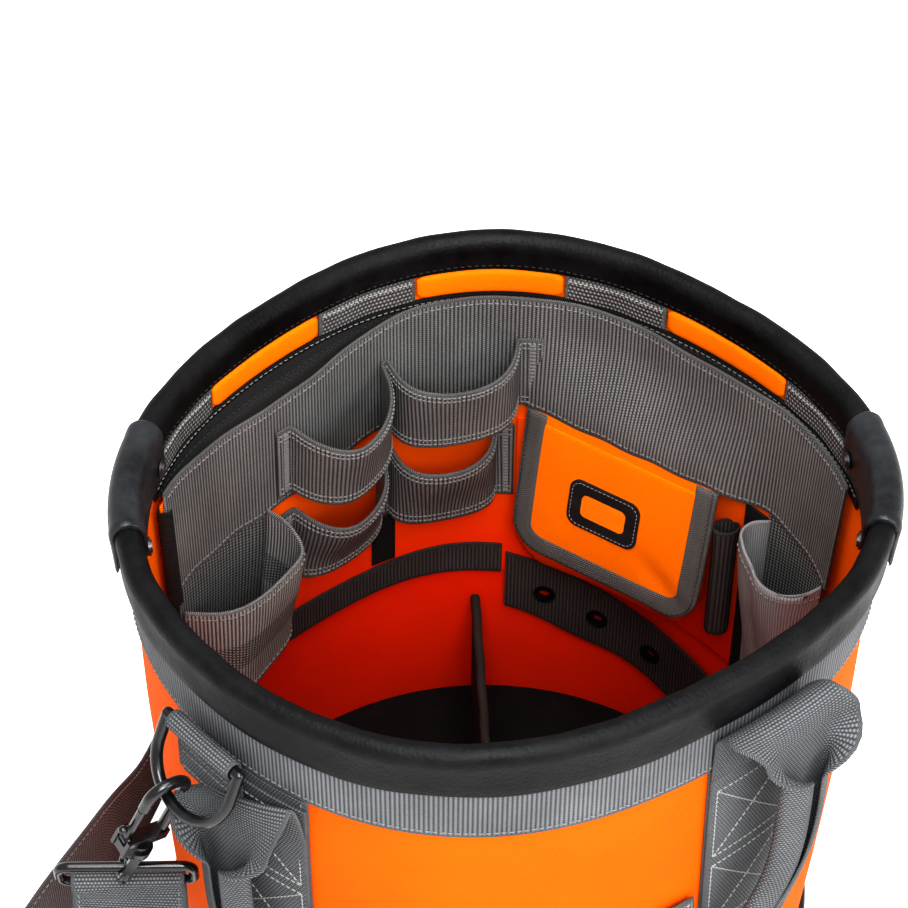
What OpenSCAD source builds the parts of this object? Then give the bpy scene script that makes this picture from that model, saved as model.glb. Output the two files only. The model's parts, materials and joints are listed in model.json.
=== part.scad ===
// Soft-sided tool bucket: a fabric bucket with a stiff hooped rim, an organizer of webbing
// loops and pockets hung round its back wall, two carry handles and a clip-on shoulder strap.
// Millimetres, +Z up, origin at the middle of the flat bottom. Angles are degrees about +Z.

/* [Bucket] */
// Height from the floor to the top of the rim bead
bucket_h = 310; // [306:1:312]
// Mean radius of the rim's outer edge
rim_radius = 155; // [154:0.5:156]
// Radius of the round bottom
base_radius = 151; // [150.5:0.5:151.5]
// How far the soft rim is pulled into an oval, as a share of its radius
rim_pull = 0.0375; // [0.034:0.0005:0.039]

/* [Webbing] */
// Width of the vertical straps and the carry handles
strap_w = 50; // [48:1:51]
// Width of the webbing that holds each D-ring
ring_web_w = 38; // [34:1:38]
// Thickness of one layer of webbing
web_t = 1.4; // [1.2:0.1:1.4]

/* [Pouch] */
// Width of the pouch flap
flap_w = 103; // [100:1:104]
// Length of the pouch flap from its hinge
flap_l = 76; // [72:1:77]
// Lean of the closed flap away from the wall
flap_tilt = 9; // [8:0.5:9.5]

/* [Hardware] */
// Wire radius of the D-rings
d_wire_r = 2.6; // [2.4:0.1:2.6]
// Radius of the round part of a D-ring
d_round_r = 22; // [22:0.5:23]
// Wire radius of the strap rings
ring_wire_r = 2.2; // [2:0.1:2.3]

/* [Hidden] */
$fn = 48;

step = 5;                  // angle between the wall's stations
gap = 0.3;                 // room left between two soft layers
boot_h = 40;               // the boot's height, below which the wall is truly round
floor_t = 3;               // thickness of the boot's floor
plate_top = 6.5;           // top of the stiff base plate

// Depths inside the rim's outer edge of each wall layer: outer face, inner face
band_u = [2.6, 3.9];
shell_u = [4.2, 6.2];
lining_u = [6.5, 7.5];
strap_u = [2.6, 3.9];
anchor_u = [0.9, 2.3];
bead_u = 5.4;              // depth of the rim hoop's centre
bead_r = 6.5;
hoop_r = 4;
bead_z = bucket_h - bead_r;
apron_z = bucket_h - 25;   // bottom of the rim cover's outer apron
lip_z = bucket_h - 18;     // bottom of its inner leg
wall_top = bucket_h - 14;
outer_band_z = [bucket_h - 53, wall_top];
org_foot_z = 100;          // heights between which the organizer leans out to its full stand-off
org_full_z = 207;

// ---- the wall, pulled out of round at the rim ----
function rim_r(a) = rim_radius * (1 + rim_pull * cos(2 * (a - 21)) + 0.022 * cos(4 * (a + 3))
    + 0.0215 * cos(3 * (a + 12.3)));
function blend(z) = min(1, max(0, (z - boot_h) / (bucket_h - boot_h)));
function wall_r(a, z) = base_radius + (rim_r(a) - base_radius) * blend(z);
function polar(a, r, z) = [r * cos(a), r * sin(a), z];
// A point u inside the wall; straight between stations, so that layers stay parallel
function at(a, z, u) = let(i = floor(a / step), f = a / step - i, lo = i * step, hi = lo + step)
    (1 - f) * polar(lo, wall_r(lo, z) - u, z) + f * polar(hi, wall_r(hi, z) - u, z);
function stations(a0, a1) = concat([a0],
    [for (i = [floor(a0 / step) + 1 : ceil(a1 / step) - 1]) i * step], [a1]);
function ring_stations() = [for (a = [0 : step : 360 - step]) a];
function lerp(p, q, f) = p + (q - p) * f;
// 1 in the middle, falling smoothly to 0 at x = -1 and x = 1
function bell(x) = abs(x) < 1 ? pow(cos(90 * x), 2) : 0;
function smooth(x) = let(c = min(1, max(0, x))) c * c * (3 - 2 * c);
function unit(v) = v / norm(v);
function flat(p) = [p.x, p.y];

// Skin over sections that each hold one rail of points and then its partner rail reversed; both
// rails are cut along the same diagonals, so that layers lying on each other never cross
module sweep(sections, closed = false) {
    n = len(sections);
    m = len(sections[0]);
    spans = closed ? n : n - 1;
    sides = [for (i = [0 : spans - 1], j = [0 : m - 1])
        let(a = i * m + j, b = i * m + (j + 1) % m,
            c = ((i + 1) % n) * m + (j + 1) % m, d = ((i + 1) % n) * m + j)
        each (j < m / 2 ? [[a, b, c], [a, c, d]] : [[a, b, d], [b, c, d]])];
    last = (n - 1) * m;
    ends = closed ? [] : [for (j = [0 : m / 2 - 2])
        let(a = j, b = j + 1, c = m - 2 - j, d = m - 1 - j)
        each [[a, c, b], [a, d, c], [last + a, last + b, last + c], [last + a, last + c, last + d]]];
    polyhedron([for (s = sections) each s], concat(sides, ends), convexity = 10);
}

// Heights from z0 to z1 with every height between them at which the wall layers are cut across
bend_z = [boot_h, org_foot_z, 150, org_full_z, 246];
function levels(z0, z1) = concat([z0], [for (k = bend_z) if (k > z0 + 1 && k < z1 - 1) k], [z1]);
// Upright wall section at angle a between heights z0 and z1, from depth u0(a, z) to u1(a, z)
function wall_section(a, z0, z1, u0, u1) = let(zs = levels(z0, z1), n = len(zs) - 1) concat(
    [for (z = zs) at(a, z, u0(a, z))], [for (i = [n : -1 : 0]) at(a, zs[i], u1(a, zs[i]))]);
module wall_strip(a0, a1, z0, z1, u0, u1)
    sweep([for (a = stations(a0, a1)) wall_section(a, z0, z1, u0, u1)]);
module wall_ring(z0, z1, u)
    sweep([for (a = ring_stations())
        wall_section(a, z0, z1, function(a, z) u[0], function(a, z) u[1])], true);

// Half the angle that a strap of width w spans on the wall
function half_span(w, r) = asin(w / 2 / r);

// A ribbon of thickness t standing on edge: plan curves low and high give its middle
function normal2(c, i) = let(p = c[max(0, i - 1)], q = c[min(len(c) - 1, i + 1)], d = unit(q - p))
    [d.y, -d.x];
function lift(p, z) = [p.x, p.y, z];
module ribbon(low, high, z0, z1, t = web_t)
    sweep([for (i = [0 : len(low) - 1]) let(nl = normal2(low, i) * t / 2, nh = normal2(high, i) * t / 2)
        [lift(low[i] - nl, z0(i)), lift(high[i] - nh, z1(i)),
         lift(high[i] + nh, z1(i)), lift(low[i] + nl, z0(i))]]);
// The same with a floor that reaches back to the plan points foot
module pocket(low, high, foot, z0, z1, t = web_t)
    sweep([for (i = [0 : len(low) - 1]) let(nl = normal2(low, i) * t / 2, nh = normal2(high, i) * t / 2)
        [lift(high[i] + nh, z1), lift(low[i] + nl, z0), lift(foot[i], z0),
         lift(foot[i], z0 + t), lift(low[i] - nl, z0 + t), lift(high[i] - nh, z1)]]);

// ---- bucket ----
module base_boot() color("#202124") difference() {
    cylinder(r = base_radius - 1.4, h = boot_h, $fn = 120);
    translate([0, 0, floor_t]) cylinder(r = base_radius - shell_u[0] + gap, h = boot_h, $fn = 120);
}
module base_plate() color("#111214")
    translate([0, 0, floor_t + gap])
        cylinder(r = base_radius - lining_u[1] - 0.7, h = plate_top - floor_t - gap, $fn = 120);
module outer_shell() color("darkorange") wall_ring(floor_t + gap, wall_top, shell_u);
module lining() color("orangered") wall_ring(floor_t + gap, wall_top, lining_u);
module outer_band() color("#8a9299") wall_ring(outer_band_z[0], outer_band_z[1], band_u);
function circle_pts(u, z, r, from, to, n) =
    [for (i = [0 : n]) let(b = from + (to - from) * i / n) [u - r * cos(b), z + r * sin(b)]];
module rim_hoop() color("black") sweep([for (a = ring_stations())
    [for (p = circle_pts(bead_u, bead_z, hoop_r, 0, 360 * 7 / 8, 7)) at(a, p.y, p.x)]], true);
// Inverted U section: bead over the hoop, one leg outside the wall and one inside
function cover_profile(low_out, low_in, leg_out, leg_in, r, t) = concat(
    [[leg_out, low_out], [leg_out, bead_z - r * 0.6]],
    circle_pts(bead_u, bead_z, r, -12, 192, 8),
    [[leg_in, bead_z - r * 0.6], [leg_in, low_in], [leg_in - t, low_in], [leg_in - t, bead_z - r * 0.6]],
    circle_pts(bead_u, bead_z, r - t, 190, -10, 6),
    [[leg_out + t, bead_z - r * 0.6], [leg_out + t, low_out]]);
cover = cover_profile(apron_z, lip_z, 0, 10.4, bead_r, 2);
module rim_cover() color("#2b2c2e")
    sweep([for (a = ring_stations()) [for (p = cover) at(a, p.y, p.x)]], true);
sleeve_half = 11.5;        // half the angle of a leather sleeve
sleeve = cover_profile(apron_z - 2, lip_z - 8, -2, 12.4, bead_r + 2, 1.7);
module rim_sleeve(mid) color("#232426")
    sweep([for (a = stations(mid - sleeve_half, mid + sleeve_half)) [for (p = sleeve) at(a, p.y, p.x)]]);
module rim_sleeve_right() rim_sleeve(0);
module rim_sleeve_left() rim_sleeve(180);
rivet_z = lip_z - 1.5;
module sleeve_rivets() color("#4a4b4e")
    for (mid = [0, 180], s = [-1, 1]) let(a = mid + s * 9, p = at(a, rivet_z, 12.6))
        translate(p) rotate([0, 0, a]) rotate([0, -90, 0]) {
            cylinder(r = 4, h = 1);
            translate([0, 0, 1]) cylinder(r = 2.8, h = 0.7);
            translate([0, 0, -3.5]) cylinder(r = 1.2, h = 4);
        }

// ---- organizer hung on the back wall ----
facing_z = [bucket_h - 32, lip_z - gap];
tab_spacing = 47;
tab_first = 19.5;
tab_count = 4;
tab_half = half_span(strap_w, rim_radius - 10);
function tab_at(i) = tab_first + i * tab_spacing;
module hanger_tabs() color("#6b6c6a")
    for (i = [0 : tab_count - 1])
        wall_strip(tab_at(i) - tab_half, tab_at(i) + tab_half, facing_z[0], facing_z[1],
            function(a, z) 7.8, function(a, z) 10.2);
panel_half = tab_spacing / 2 - tab_half - 0.3;
module facing_panels() color("darkorange")
    for (i = [0 : tab_count - 2]) let(mid = tab_at(i) + tab_spacing / 2)
        wall_strip(mid - panel_half, mid + panel_half, facing_z[0], facing_z[1],
            function(a, z) 7.8, function(a, z) 10.6);
tape_z = [bucket_h - 40, facing_z[0] - gap];
module hook_tape() color("#1c1c1e")
    wall_strip(5, 171.5, tape_z[0], tape_z[1], function(a, z) 7.8, function(a, z) 9.6);

// Depth of the organizer's outer face: it stands off the wall on the left
function stand_off(a) = 12 * bell((a - 137) / 45) + 3.5 * bell((a - 45) / 28);
function org_u(a, z) = 8.4
    + stand_off(a) * (0.35 + 0.65 * min(1, max(0, (z - org_foot_z) / (org_full_z - org_foot_z))));
backing_t = 1.3;
backing_z = [95, tape_z[0] - gap];
backing_a = [26, 173];
module organizer_backing() color("orange")
    wall_strip(backing_a[0], backing_a[1], backing_z[0], backing_z[1],
        function(a, z) org_u(a, z), function(a, z) org_u(a, z) + backing_t);
band_z = [212.5, facing_z[0] - gap];
band_a = [7.5, 172];
function band_drop(a) = 5.5 * bell((a - 140) / 40);
function band_face(a, z) = org_u(a, z) + backing_t + gap + 1.6;
module organizer_band() color("#77787a")
    sweep([for (a = stations(band_a[0], band_a[1]))
        wall_section(a, band_z[0] - band_drop(a), band_z[1] - band_drop(a),
            function(a, z) org_u(a, z) + backing_t + gap, function(a, z) band_face(a, z))]);

// Plan points of one bulging loop between angles hi and lo, depth h beyond the face it is sewn on
function spow(x, e) = sign(x) * pow(abs(x), e);
function bulge(hi, lo, h, z, e, n = 14) = [for (i = [0 : n])
    let(t = 180 * i / n, a = (hi + lo) / 2 + (hi - lo) / 2 * spow(cos(t), 0.9))
    flat(at(a, z, face_at(a, z) + h * pow(max(0, sin(t)), e)))];
// The face that loops are sewn to: the band where there is band, else the backing
function face_at(a, z) = gap + 0.9 + (z > band_z[0] - 8 ? band_face(a, z) : org_u(a, z) + backing_t);
function tab_pts(a0, a1, z) = [for (f = [0, 0.5]) let(a = lerp(a0, a1, f)) flat(at(a, z, face_at(a, z)))];
function two_bulges(a, h, z, e) = concat(tab_pts(a[0], a[1], z), bulge(a[1], a[2], h, z, e),
    bulge(a[3], a[4], h, z, e), [flat(at(a[5], z, face_at(a[5], z)))]);
upper_a = [141, 137, 111.8, 110.2, 84.5, 79.5];
upper_z = [213, 255];
module tool_loops_upper() color("#808183") let(
        low = two_bulges(upper_a, 26, upper_z[0], 0.7), high = two_bulges(upper_a, 31, upper_z[1], 0.7))
    ribbon(low, high, function(i) upper_z[0], function(i) upper_z[1], 1.8);
lower_a = [139.5, 135.5, 112.6, 109.6, 88.5, 84.5];
lower_z = [150, 198];
module tool_loops_lower() color("#6f7072") let(
        low = two_bulges(lower_a, 15, lower_z[0], 0.8), high = two_bulges(lower_a, 27, lower_z[1], 0.7))
    ribbon(low, high, function(i) lower_z[0], function(i) lower_z[1], 1.8);
module sewn_strip(a0, a1, z0, z1, t = web_t)
    wall_strip(a0, a1, z0, z1, function(a, z) org_u(a, z) + backing_t + gap,
        function(a, z) org_u(a, z) + backing_t + gap + t);
module column_strap() color("#1d1d1f") sewn_strip(108.4, 113.6, 116, 149);
module lower_band() color("#4f4f4e") sewn_strip(87.5, 172, 96, 115);
module side_strap() color("#1a1a1b") sewn_strip(28.2, 33.4, 96, 209);

left_z = [140, 203];
left_a = [171, 144.5];
module left_pocket_back() color("#5c5d5f")
    sewn_strip(left_a[1] - 0.6, left_a[0] + 0.5, 117, 204);
function left_face(a, z) = org_u(a, z) + backing_t + gap + web_t + gap + 0.8;
function left_curve(z, h, n = 16) = [for (i = [0 : n])
    let(t = 180 * i / n, a = (left_a[0] + left_a[1]) / 2 + (left_a[0] - left_a[1]) / 2 * spow(cos(t), 0.8))
    flat(at(a, z, left_face(a, z) + h * pow(max(0, sin(t)), 0.6)))];
function left_foot(z, n = 16) = [for (i = [0 : n])
    let(a = lerp(left_a[0], left_a[1], i / n)) flat(at(a, z, left_face(a, z) - 0.7))];
module left_pocket() color("#77787a")
    pocket(left_curve(left_z[0], 22), left_curve(left_z[1], 30), left_foot(left_z[0]),
        left_z[0], left_z[1], 1.6);

right_z = [118, 208];
right_a = [27.2, 9.5];
function right_face(a, z) = org_u(a, z) + (a > backing_a[0] - 1 ? backing_t + gap : gap) + 0.8;
function right_curve(z, h, n = 12) = [for (i = [0 : n])
    let(t = 180 * i / n, a = (right_a[0] + right_a[1]) / 2 + (right_a[0] - right_a[1]) / 2 * spow(cos(t), 0.85))
    flat(at(a, z, right_face(a, z) + h * pow(max(0, sin(t)), 0.7)))];
function right_foot(z, n = 12) = [for (i = [0 : n])
    let(a = lerp(right_a[0], right_a[1], i / n)) flat(at(a, z, right_face(a, z)))];
module right_pocket() color("#9a9c9e")
    pocket(right_curve(right_z[0], 14), right_curve(right_z[1], 26), right_foot(right_z[0]),
        right_z[0], right_z[1], 1.5);

pen_a = 35.8;
pen_z = [122, 192];
pen_r = 5.7;
module pen_sleeve() color("#3a3633")
    let(u = max(org_u(pen_a, pen_z[0]), org_u(pen_a, pen_z[1])) + backing_t + gap + pen_r,
        p = flat(at(pen_a, pen_z[1], u)))
    translate([p.x, p.y, pen_z[0]]) difference() {
        cylinder(r = pen_r, h = pen_z[1] - pen_z[0]);
        translate([0, 0, -1]) cylinder(r = pen_r - 1.3, h = pen_z[1] - pen_z[0] + 2);
    }

// ---- flap pouch; its frame has x along the hinge, y towards the wall and z up ----
hinge_z = 208;
hinge_l = flat(at(82, hinge_z, 13.9));
hinge_r = flat(at(37.5, hinge_z, 21));
hinge_mid = (hinge_l + hinge_r) / 2;
hinge_dir = unit(hinge_r - hinge_l);
hinge_ang = atan2(hinge_dir.y, hinge_dir.x);
flap_t = 2.2;
binding_w = 11;
binding_t = 3.4;
module in_flap() translate([hinge_mid.x, hinge_mid.y, hinge_z]) rotate([0, 0, hinge_ang])
    rotate([-flap_tilt, 0, 0]) children();
module flap_plate(w, l, r, t, front) translate([0, -front, 0]) rotate([90, 0, 0])
    linear_extrude(t) union() {
        translate([-w / 2, -l + r]) square([w, l - r]);
        translate([-w / 2 + r, -l]) square([w - 2 * r, r + 1]);
        for (s = [-1, 1]) translate([s * (w / 2 - r), -l + r]) circle(r);
    }
panel_w = flap_w - 2 * binding_w;
panel_l = flap_l - binding_w;
module pouch_flap() color("darkorange") in_flap() union() {
    flap_plate(panel_w, panel_l, 8, flap_t, 0);
    rotate([0, 90, 0]) translate([0, 0, -panel_w / 2]) cylinder(r = 1.9, h = panel_w);
}
module flap_binding() color("#5a5a59") in_flap() difference() {
    flap_plate(flap_w, flap_l, 17, binding_t, -0.6);
    translate([0, 1, 0]) flap_plate(panel_w + 0.3, panel_l + 0.15, 8.15, binding_t + 2, -0.6);
    translate([-panel_w / 2 - 0.15, -8, -4]) cube([panel_w + 0.3, 16, 8]);
}
module rounded_rect(w, h, r) union() {
    square([w, h - 2 * r], center = true);
    square([w - 2 * r, h], center = true);
    for (x = [-1, 1], y = [-1, 1]) translate([x * (w / 2 - r), y * (h / 2 - r)]) circle(r);
}
patch_size = [38, 27];
patch_mid = -34;
module on_flap(front) in_flap() translate([-3, -front, patch_mid]) rotate([90, 0, 0]) children();
module flap_patch() color("#1e1e20") on_flap(flap_t + 0.05) difference() {
    linear_extrude(2.2) rounded_rect(patch_size.x, patch_size.y, 6);
    translate([0, 0, 1]) linear_extrude(2) rounded_rect(patch_size.x - 14, patch_size.y - 14, 3);
}
module patch_inlay() color("orange") on_flap(flap_t + 1.1)
    linear_extrude(1.3) rounded_rect(patch_size.x - 14.2, patch_size.y - 14.2, 2.9);
module tape(depth) in_flap() translate([0, depth, -57]) rotate([90, 0, 0])
    linear_extrude(1.1) rounded_rect(62, 15, 2);
module flap_tape() color("#18181a") tape(1.2);
module pouch_tape() color("#18181a") tape(2.6);

pouch_z = [112, 203];
pouch_x = [-50, 43.5];
// Plan point on the pouch's front line at height z, x along the hinge
function front_pt(x, z) = let(w = (hinge_z - z) * tan(flap_tilt) - 3.6)
    hinge_mid + hinge_dir * x + [hinge_dir.y, -hinge_dir.x] * w;
function quad(p, c, q, n = 5) = [for (i = [0 : n]) let(f = i / n) lerp(lerp(p, c, f), lerp(c, q, f), f)];
function pouch_curve(z) = let(
    back_l = flat(at(84.2, z, org_u(84.2, z) + backing_t + gap + 0.8)),
    back_r = flat(at(41.8, z, org_u(41.8, z) + backing_t + gap + 0.8)),
    fl = front_pt(pouch_x[0], z), fr = front_pt(pouch_x[1], z),
    l = unit(fl - back_l) * 7, r = unit(fr - back_r) * 7)
    concat([back_l], quad(fl - l, fl, fl + hinge_dir * 7), [front_pt(0, z)],
        quad(fr - hinge_dir * 7, fr, fr - r), [back_r]);
function pouch_foot(z) = let(n = len(pouch_curve(z)) - 1) [for (i = [0 : n])
    let(a = lerp(84.2, 41.8, i / n)) flat(at(a, z, org_u(a, z) + backing_t + gap + 0.1))];
module pouch_body() color("darkorange")
    pocket(pouch_curve(pouch_z[0]), pouch_curve(pouch_z[1]), pouch_foot(pouch_z[0]),
        pouch_z[0], pouch_z[1], 1.5);

// ---- eyelet strip below the pouch ----
eyelet_a = [77.3, 65.8, 53.3];
eyelet_r = 5.6;
eyelet_bore = 3.2;
function eyelet_z(a) = 84 - (77.3 - a) * 0.75;
strip_t = 1.5;
strip_u = 10.4;
module eyelet_strip() color("#454342") difference() {
    sweep([for (a = stations(38.5, 85.6)) let(lo = eyelet_z(a) - 20, hi = eyelet_z(a) + 20)
        [at(a, lo, strip_u), at(a, hi, strip_u), at(a, hi, strip_u + strip_t), at(a, lo, strip_u + strip_t)]]);
    for (a = eyelet_a) let(p = at(a, eyelet_z(a), 11))
        translate(p) rotate([0, 0, a]) rotate([0, -90, 0]) cylinder(r = eyelet_bore + 0.9, h = 8, center = true);
}
module eyelets() color("#101011")
    for (a = eyelet_a) let(p = at(a, eyelet_z(a), 12.3))
        translate(p) rotate([0, 0, a]) rotate([0, -90, 0]) difference() {
            union() {
                cylinder(r = eyelet_r, h = 0.9);
                translate([0, 0, -2.2]) cylinder(r = eyelet_bore + 0.8, h = 2.4);
            }
            translate([0, 0, -4]) cylinder(r = eyelet_bore, h = 8);
        }

// ---- divider standing on the base plate ----
divider_t = 2.6;
divider_z = [plate_top + gap, 79];
divider_turn = 1.5;
divider_l = 2 * (base_radius - lining_u[1]) - 4;
module divider() color("#151516") rotate([0, 0, divider_turn])
    translate([-divider_t / 2, -divider_l / 2, divider_z[0]])
        cube([divider_t, divider_l, divider_z[1] - divider_z[0] - 1.2]);
module divider_trim() color("#555553") rotate([0, 0, divider_turn]) difference() {
    translate([-divider_t / 2 - 1, -divider_l / 2, divider_z[1] - 9])
        cube([divider_t + 2, divider_l, 9]);
    translate([-divider_t / 2 - 0.1, -divider_l / 2 - 1, divider_z[1] - 12])
        cube([divider_t + 0.2, divider_l + 2, 11]);
}

// ---- outside of the bucket ----
front_strap_a = [313.5, 229.5];
back_strap_a = [49.5, 133.5];
strap_half = half_span(strap_w, rim_radius);
module body_straps() color("#5f6062")
    for (a = concat(front_strap_a, back_strap_a))
        wall_strip(a - strap_half, a + strap_half, boot_h + 1, outer_band_z[0] - gap,
            function(a, z) strap_u[0], function(a, z) strap_u[1]);
front_pocket_z = [boot_h + 2, 182];
front_pocket_a = [240.5, 302.5];
module front_pocket() color("darkorange")
    wall_strip(front_pocket_a[0], front_pocket_a[1], front_pocket_z[0], front_pocket_z[1] - 22,
        function(a, z) 1 - 4 * bell((a - 271.5) / 31), function(a, z) 2.4 - 4 * bell((a - 271.5) / 31));
module front_pocket_trim() color("#6a6b6d")
    wall_strip(front_pocket_a[0], front_pocket_a[1], front_pocket_z[1] - 22 + gap, front_pocket_z[1],
        function(a, z) 0.6 - 4 * bell((a - 271.5) / 31), function(a, z) 2.6 - 4 * bell((a - 271.5) / 31));
anchor_z = [150, 252];
module handle_anchors() color("#6a6b6d")
    for (a = concat(front_strap_a, back_strap_a))
        wall_strip(a - strap_half, a + strap_half, anchor_z[0], anchor_z[1],
            function(a, z) anchor_u[0], function(a, z) anchor_u[1]);

// Carry handle: half a squarish ellipse on the wall's developed surface, hung from the anchors' top
handle_drop = 130;
handle_start = 20;         // the part that swings starts at this turn of the curve
handle_square = 2 / 3;     // below 1 the curve fills its corners, as stiff webbing does
handle_t = 3;
handle_grip_w = 27;
function handle_w(t) = lerp(strap_w - 12, handle_grip_w, smooth((sin(t) - 0.3) / 0.6));
function handle_pt(t, span) = [span * spow(cos(t), handle_square), -handle_drop * spow(sin(t), handle_square)];
function handle_section(mid, span, t) = let(
    r = rim_radius, q = handle_pt(t, span).x, z = anchor_z[1] + handle_pt(t, span).y,
    d = unit(handle_pt(t + 1, span) - handle_pt(t - 1, span)), s = [d.y, -d.x] * handle_w(t) / 2,
    edge = [for (k = [1, -1]) [mid + (q + k * s.x) / r * 180 / PI, z + k * s.y]],
    off = -13 + 3 * sin(t))
    [at(edge[0].x, edge[0].y, off - handle_t), at(edge[1].x, edge[1].y, off - handle_t),
     at(edge[1].x, edge[1].y, off), at(edge[0].x, edge[0].y, off)];
module handle(a) let(lo = min(a), hi = max(a), mid = (lo + hi) / 2, span = (hi - lo) / 2 * PI / 180 * rim_radius)
    sweep([for (i = [0 : 24]) handle_section(mid, span, lerp(handle_start, 180 - handle_start, i / 24))]);
module front_handle() color("#6a6b6d") handle(front_strap_a);
module back_handle() color("#6a6b6d") handle(back_strap_a);

// ---- D-rings, at two opposite places; x out from the wall, y along it, z up ----
front_ring_a = 222;
back_ring_a = 42;
bar_z = 267;
bar_out = 5.2;             // the bar's distance outside the rim edge
d_leg = 12;
loop_r = d_wire_r + 0.1;
ring_lean = 25;            // rest lean of a D-ring out from the wall
hook_slide = 25;           // how far round the D-ring the hook hangs from its lowest point
hook_yaw = -54;            // heading of the hanging hook, from the D-ring's outward direction
hook_lean = 21.6;          // its lean from the vertical
hook_spin = 47;            // its turn about itself
swivel_turn = 104;         // turn of the swivel about the same axis
function bar_r(a) = wall_r(a, bar_z) + bar_out;
module at_ring(a) rotate([0, 0, a]) translate([bar_r(a), 0, bar_z]) children();
module along_y(r, w) rotate([90, 0, 0]) cylinder(r = r, h = w, center = true);
module d_ring_loop() difference() {
    union() {
        along_y(loop_r + web_t, ring_web_w);
        translate([-loop_r - web_t, -ring_web_w / 2, -40]) cube([web_t, ring_web_w, 40]);
    }
    along_y(loop_r, ring_web_w + 2);
}
module d_ring_loops() color("#585a5d") for (a = [front_ring_a, back_ring_a]) at_ring(a) d_ring_loop();
module d_ring() rotate([0, -ring_lean, 0]) union() {
    along_y(d_wire_r, 2 * d_round_r);
    for (s = [-1, 1]) translate([0, s * d_round_r, 0]) {
        sphere(r = d_wire_r);
        translate([0, 0, -d_leg]) cylinder(r = d_wire_r, h = d_leg);
    }
    translate([0, 0, -d_leg]) rotate([0, 90, 0]) rotate([0, 0, -90])
        rotate_extrude(angle = 180) translate([d_round_r, 0]) circle(d_wire_r);
}
module front_d_ring() color("#161618") at_ring(front_ring_a) d_ring();
module back_d_ring() color("#161618") at_ring(back_ring_a) d_ring();

// ---- snap hooks: origin in the bow's centre, -z down the hook, x out from the wall ----
bow_r = 8.8;
hook_wire_r = 2.5;
hook_leg = 31;             // from the bow's centre to the hook's base
nose = 6;
shank_r = 2.4;
shank_l = 13;
gate_x = bow_r + 0.6;
gate_z = -hook_leg + 3;
collar_z = -hook_leg - 7.2;
eye_z = collar_z - 19;
// Where the hook hangs on the D-ring, and the point s further down the hook
function hook_top(a) = let(l = d_leg + d_round_r * cos(hook_slide))
    polar(a, bar_r(a) + l * sin(ring_lean), bar_z - l * cos(ring_lean))
        - polar(a + 90, d_round_r * sin(hook_slide), 0);
function hook_pt(a, s) = hook_top(a) + polar(a + hook_yaw, s * sin(hook_lean), -s * cos(hook_lean));
module at_hook(a) translate(hook_top(a)) rotate([0, 0, a + hook_yaw]) rotate([0, -hook_lean, 0])
    children();
module hook_body() difference() {
    union() {
        rotate([90, 0, 0]) rotate_extrude(angle = 180) translate([bow_r, 0]) circle(hook_wire_r);
        translate([-bow_r, 0, -hook_leg]) cylinder(r = hook_wire_r, h = hook_leg);
        translate([bow_r, 0, -nose]) cylinder(r = hook_wire_r, h = nose);
        translate([-bow_r - 2.5, -3, -hook_leg - 5]) cube([2 * bow_r + 5, 6, 6]);
        translate([0, 0, -hook_leg - 7]) cylinder(r = 5, h = 3);
        translate([0, 0, -hook_leg - 5 - shank_l]) cylinder(r = shank_r, h = shank_l);
        translate([0, 0, -hook_leg - 5 - shank_l]) cylinder(r = 3.6, h = 1.6);
        for (s = [-1, 1]) translate([gate_x - 2.6, s * 3.9 - 0.9, -hook_leg - 5])
            cube([5.2, 1.8, 10.6]);
    }
    translate([gate_x - 4.2, -2.3, -hook_leg]) cube([12, 4.6, 12]);
    translate([gate_x, 0, gate_z]) along_y(1.25, 14);
}
module gate_pin() translate([gate_x, 0, gate_z]) along_y(1.2, 9.6);
module hook_gate() difference() {
    union() {
        translate([gate_x, 0, gate_z]) along_y(2.4, 4);
        translate([gate_x, 0, gate_z]) cylinder(r = 1.9, h = -nose - 0.6 - gate_z);
        translate([gate_x, 0, -hook_leg + 12]) rotate([0, 90, 0]) cylinder(r = 1.1, h = 4.5);
        translate([gate_x + 5, 0, -hook_leg + 12]) sphere(r = 2);
    }
    translate([gate_x, 0, gate_z]) along_y(1.25, 14);
}
// Swivel: a collar on the hook's shank, with two cheeks down to a round eye
eye_r = 5.6;
eye_wire_r = 1.9;
module swivel() difference() {
    union() {
        translate([0, 0, collar_z - 4]) cylinder(r = 6.4, h = 4);
        for (s = [-1, 1]) translate([s * 5.5 - 0.9, -2.2, eye_z]) cube([1.8, 4.4, 16]);
        translate([0, 0, eye_z]) rotate([90, 0, 0]) rotate_extrude() translate([eye_r, 0]) circle(eye_wire_r);
    }
    translate([0, 0, collar_z - 6]) cylinder(r = shank_r + 0.06, h = 8);
}
module front_hook() color("#1b1b1d") at_hook(front_ring_a) rotate([0, 0, hook_spin]) hook_body();
module back_hook() color("#1b1b1d") at_hook(back_ring_a) rotate([0, 0, hook_spin]) hook_body();
module front_gate() color("#2c2c2f") at_hook(front_ring_a) rotate([0, 0, hook_spin]) hook_gate();
module back_gate() color("#2c2c2f") at_hook(back_ring_a) rotate([0, 0, hook_spin]) hook_gate();
module front_gate_pin() color("#707074") at_hook(front_ring_a) rotate([0, 0, hook_spin]) gate_pin();
module back_gate_pin() color("#707074") at_hook(back_ring_a) rotate([0, 0, hook_spin]) gate_pin();
module front_swivel() color("#1b1b1d") at_hook(front_ring_a) rotate([0, 0, swivel_turn]) swivel();
module back_swivel() color("#1b1b1d") at_hook(back_ring_a) rotate([0, 0, swivel_turn]) swivel();

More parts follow.
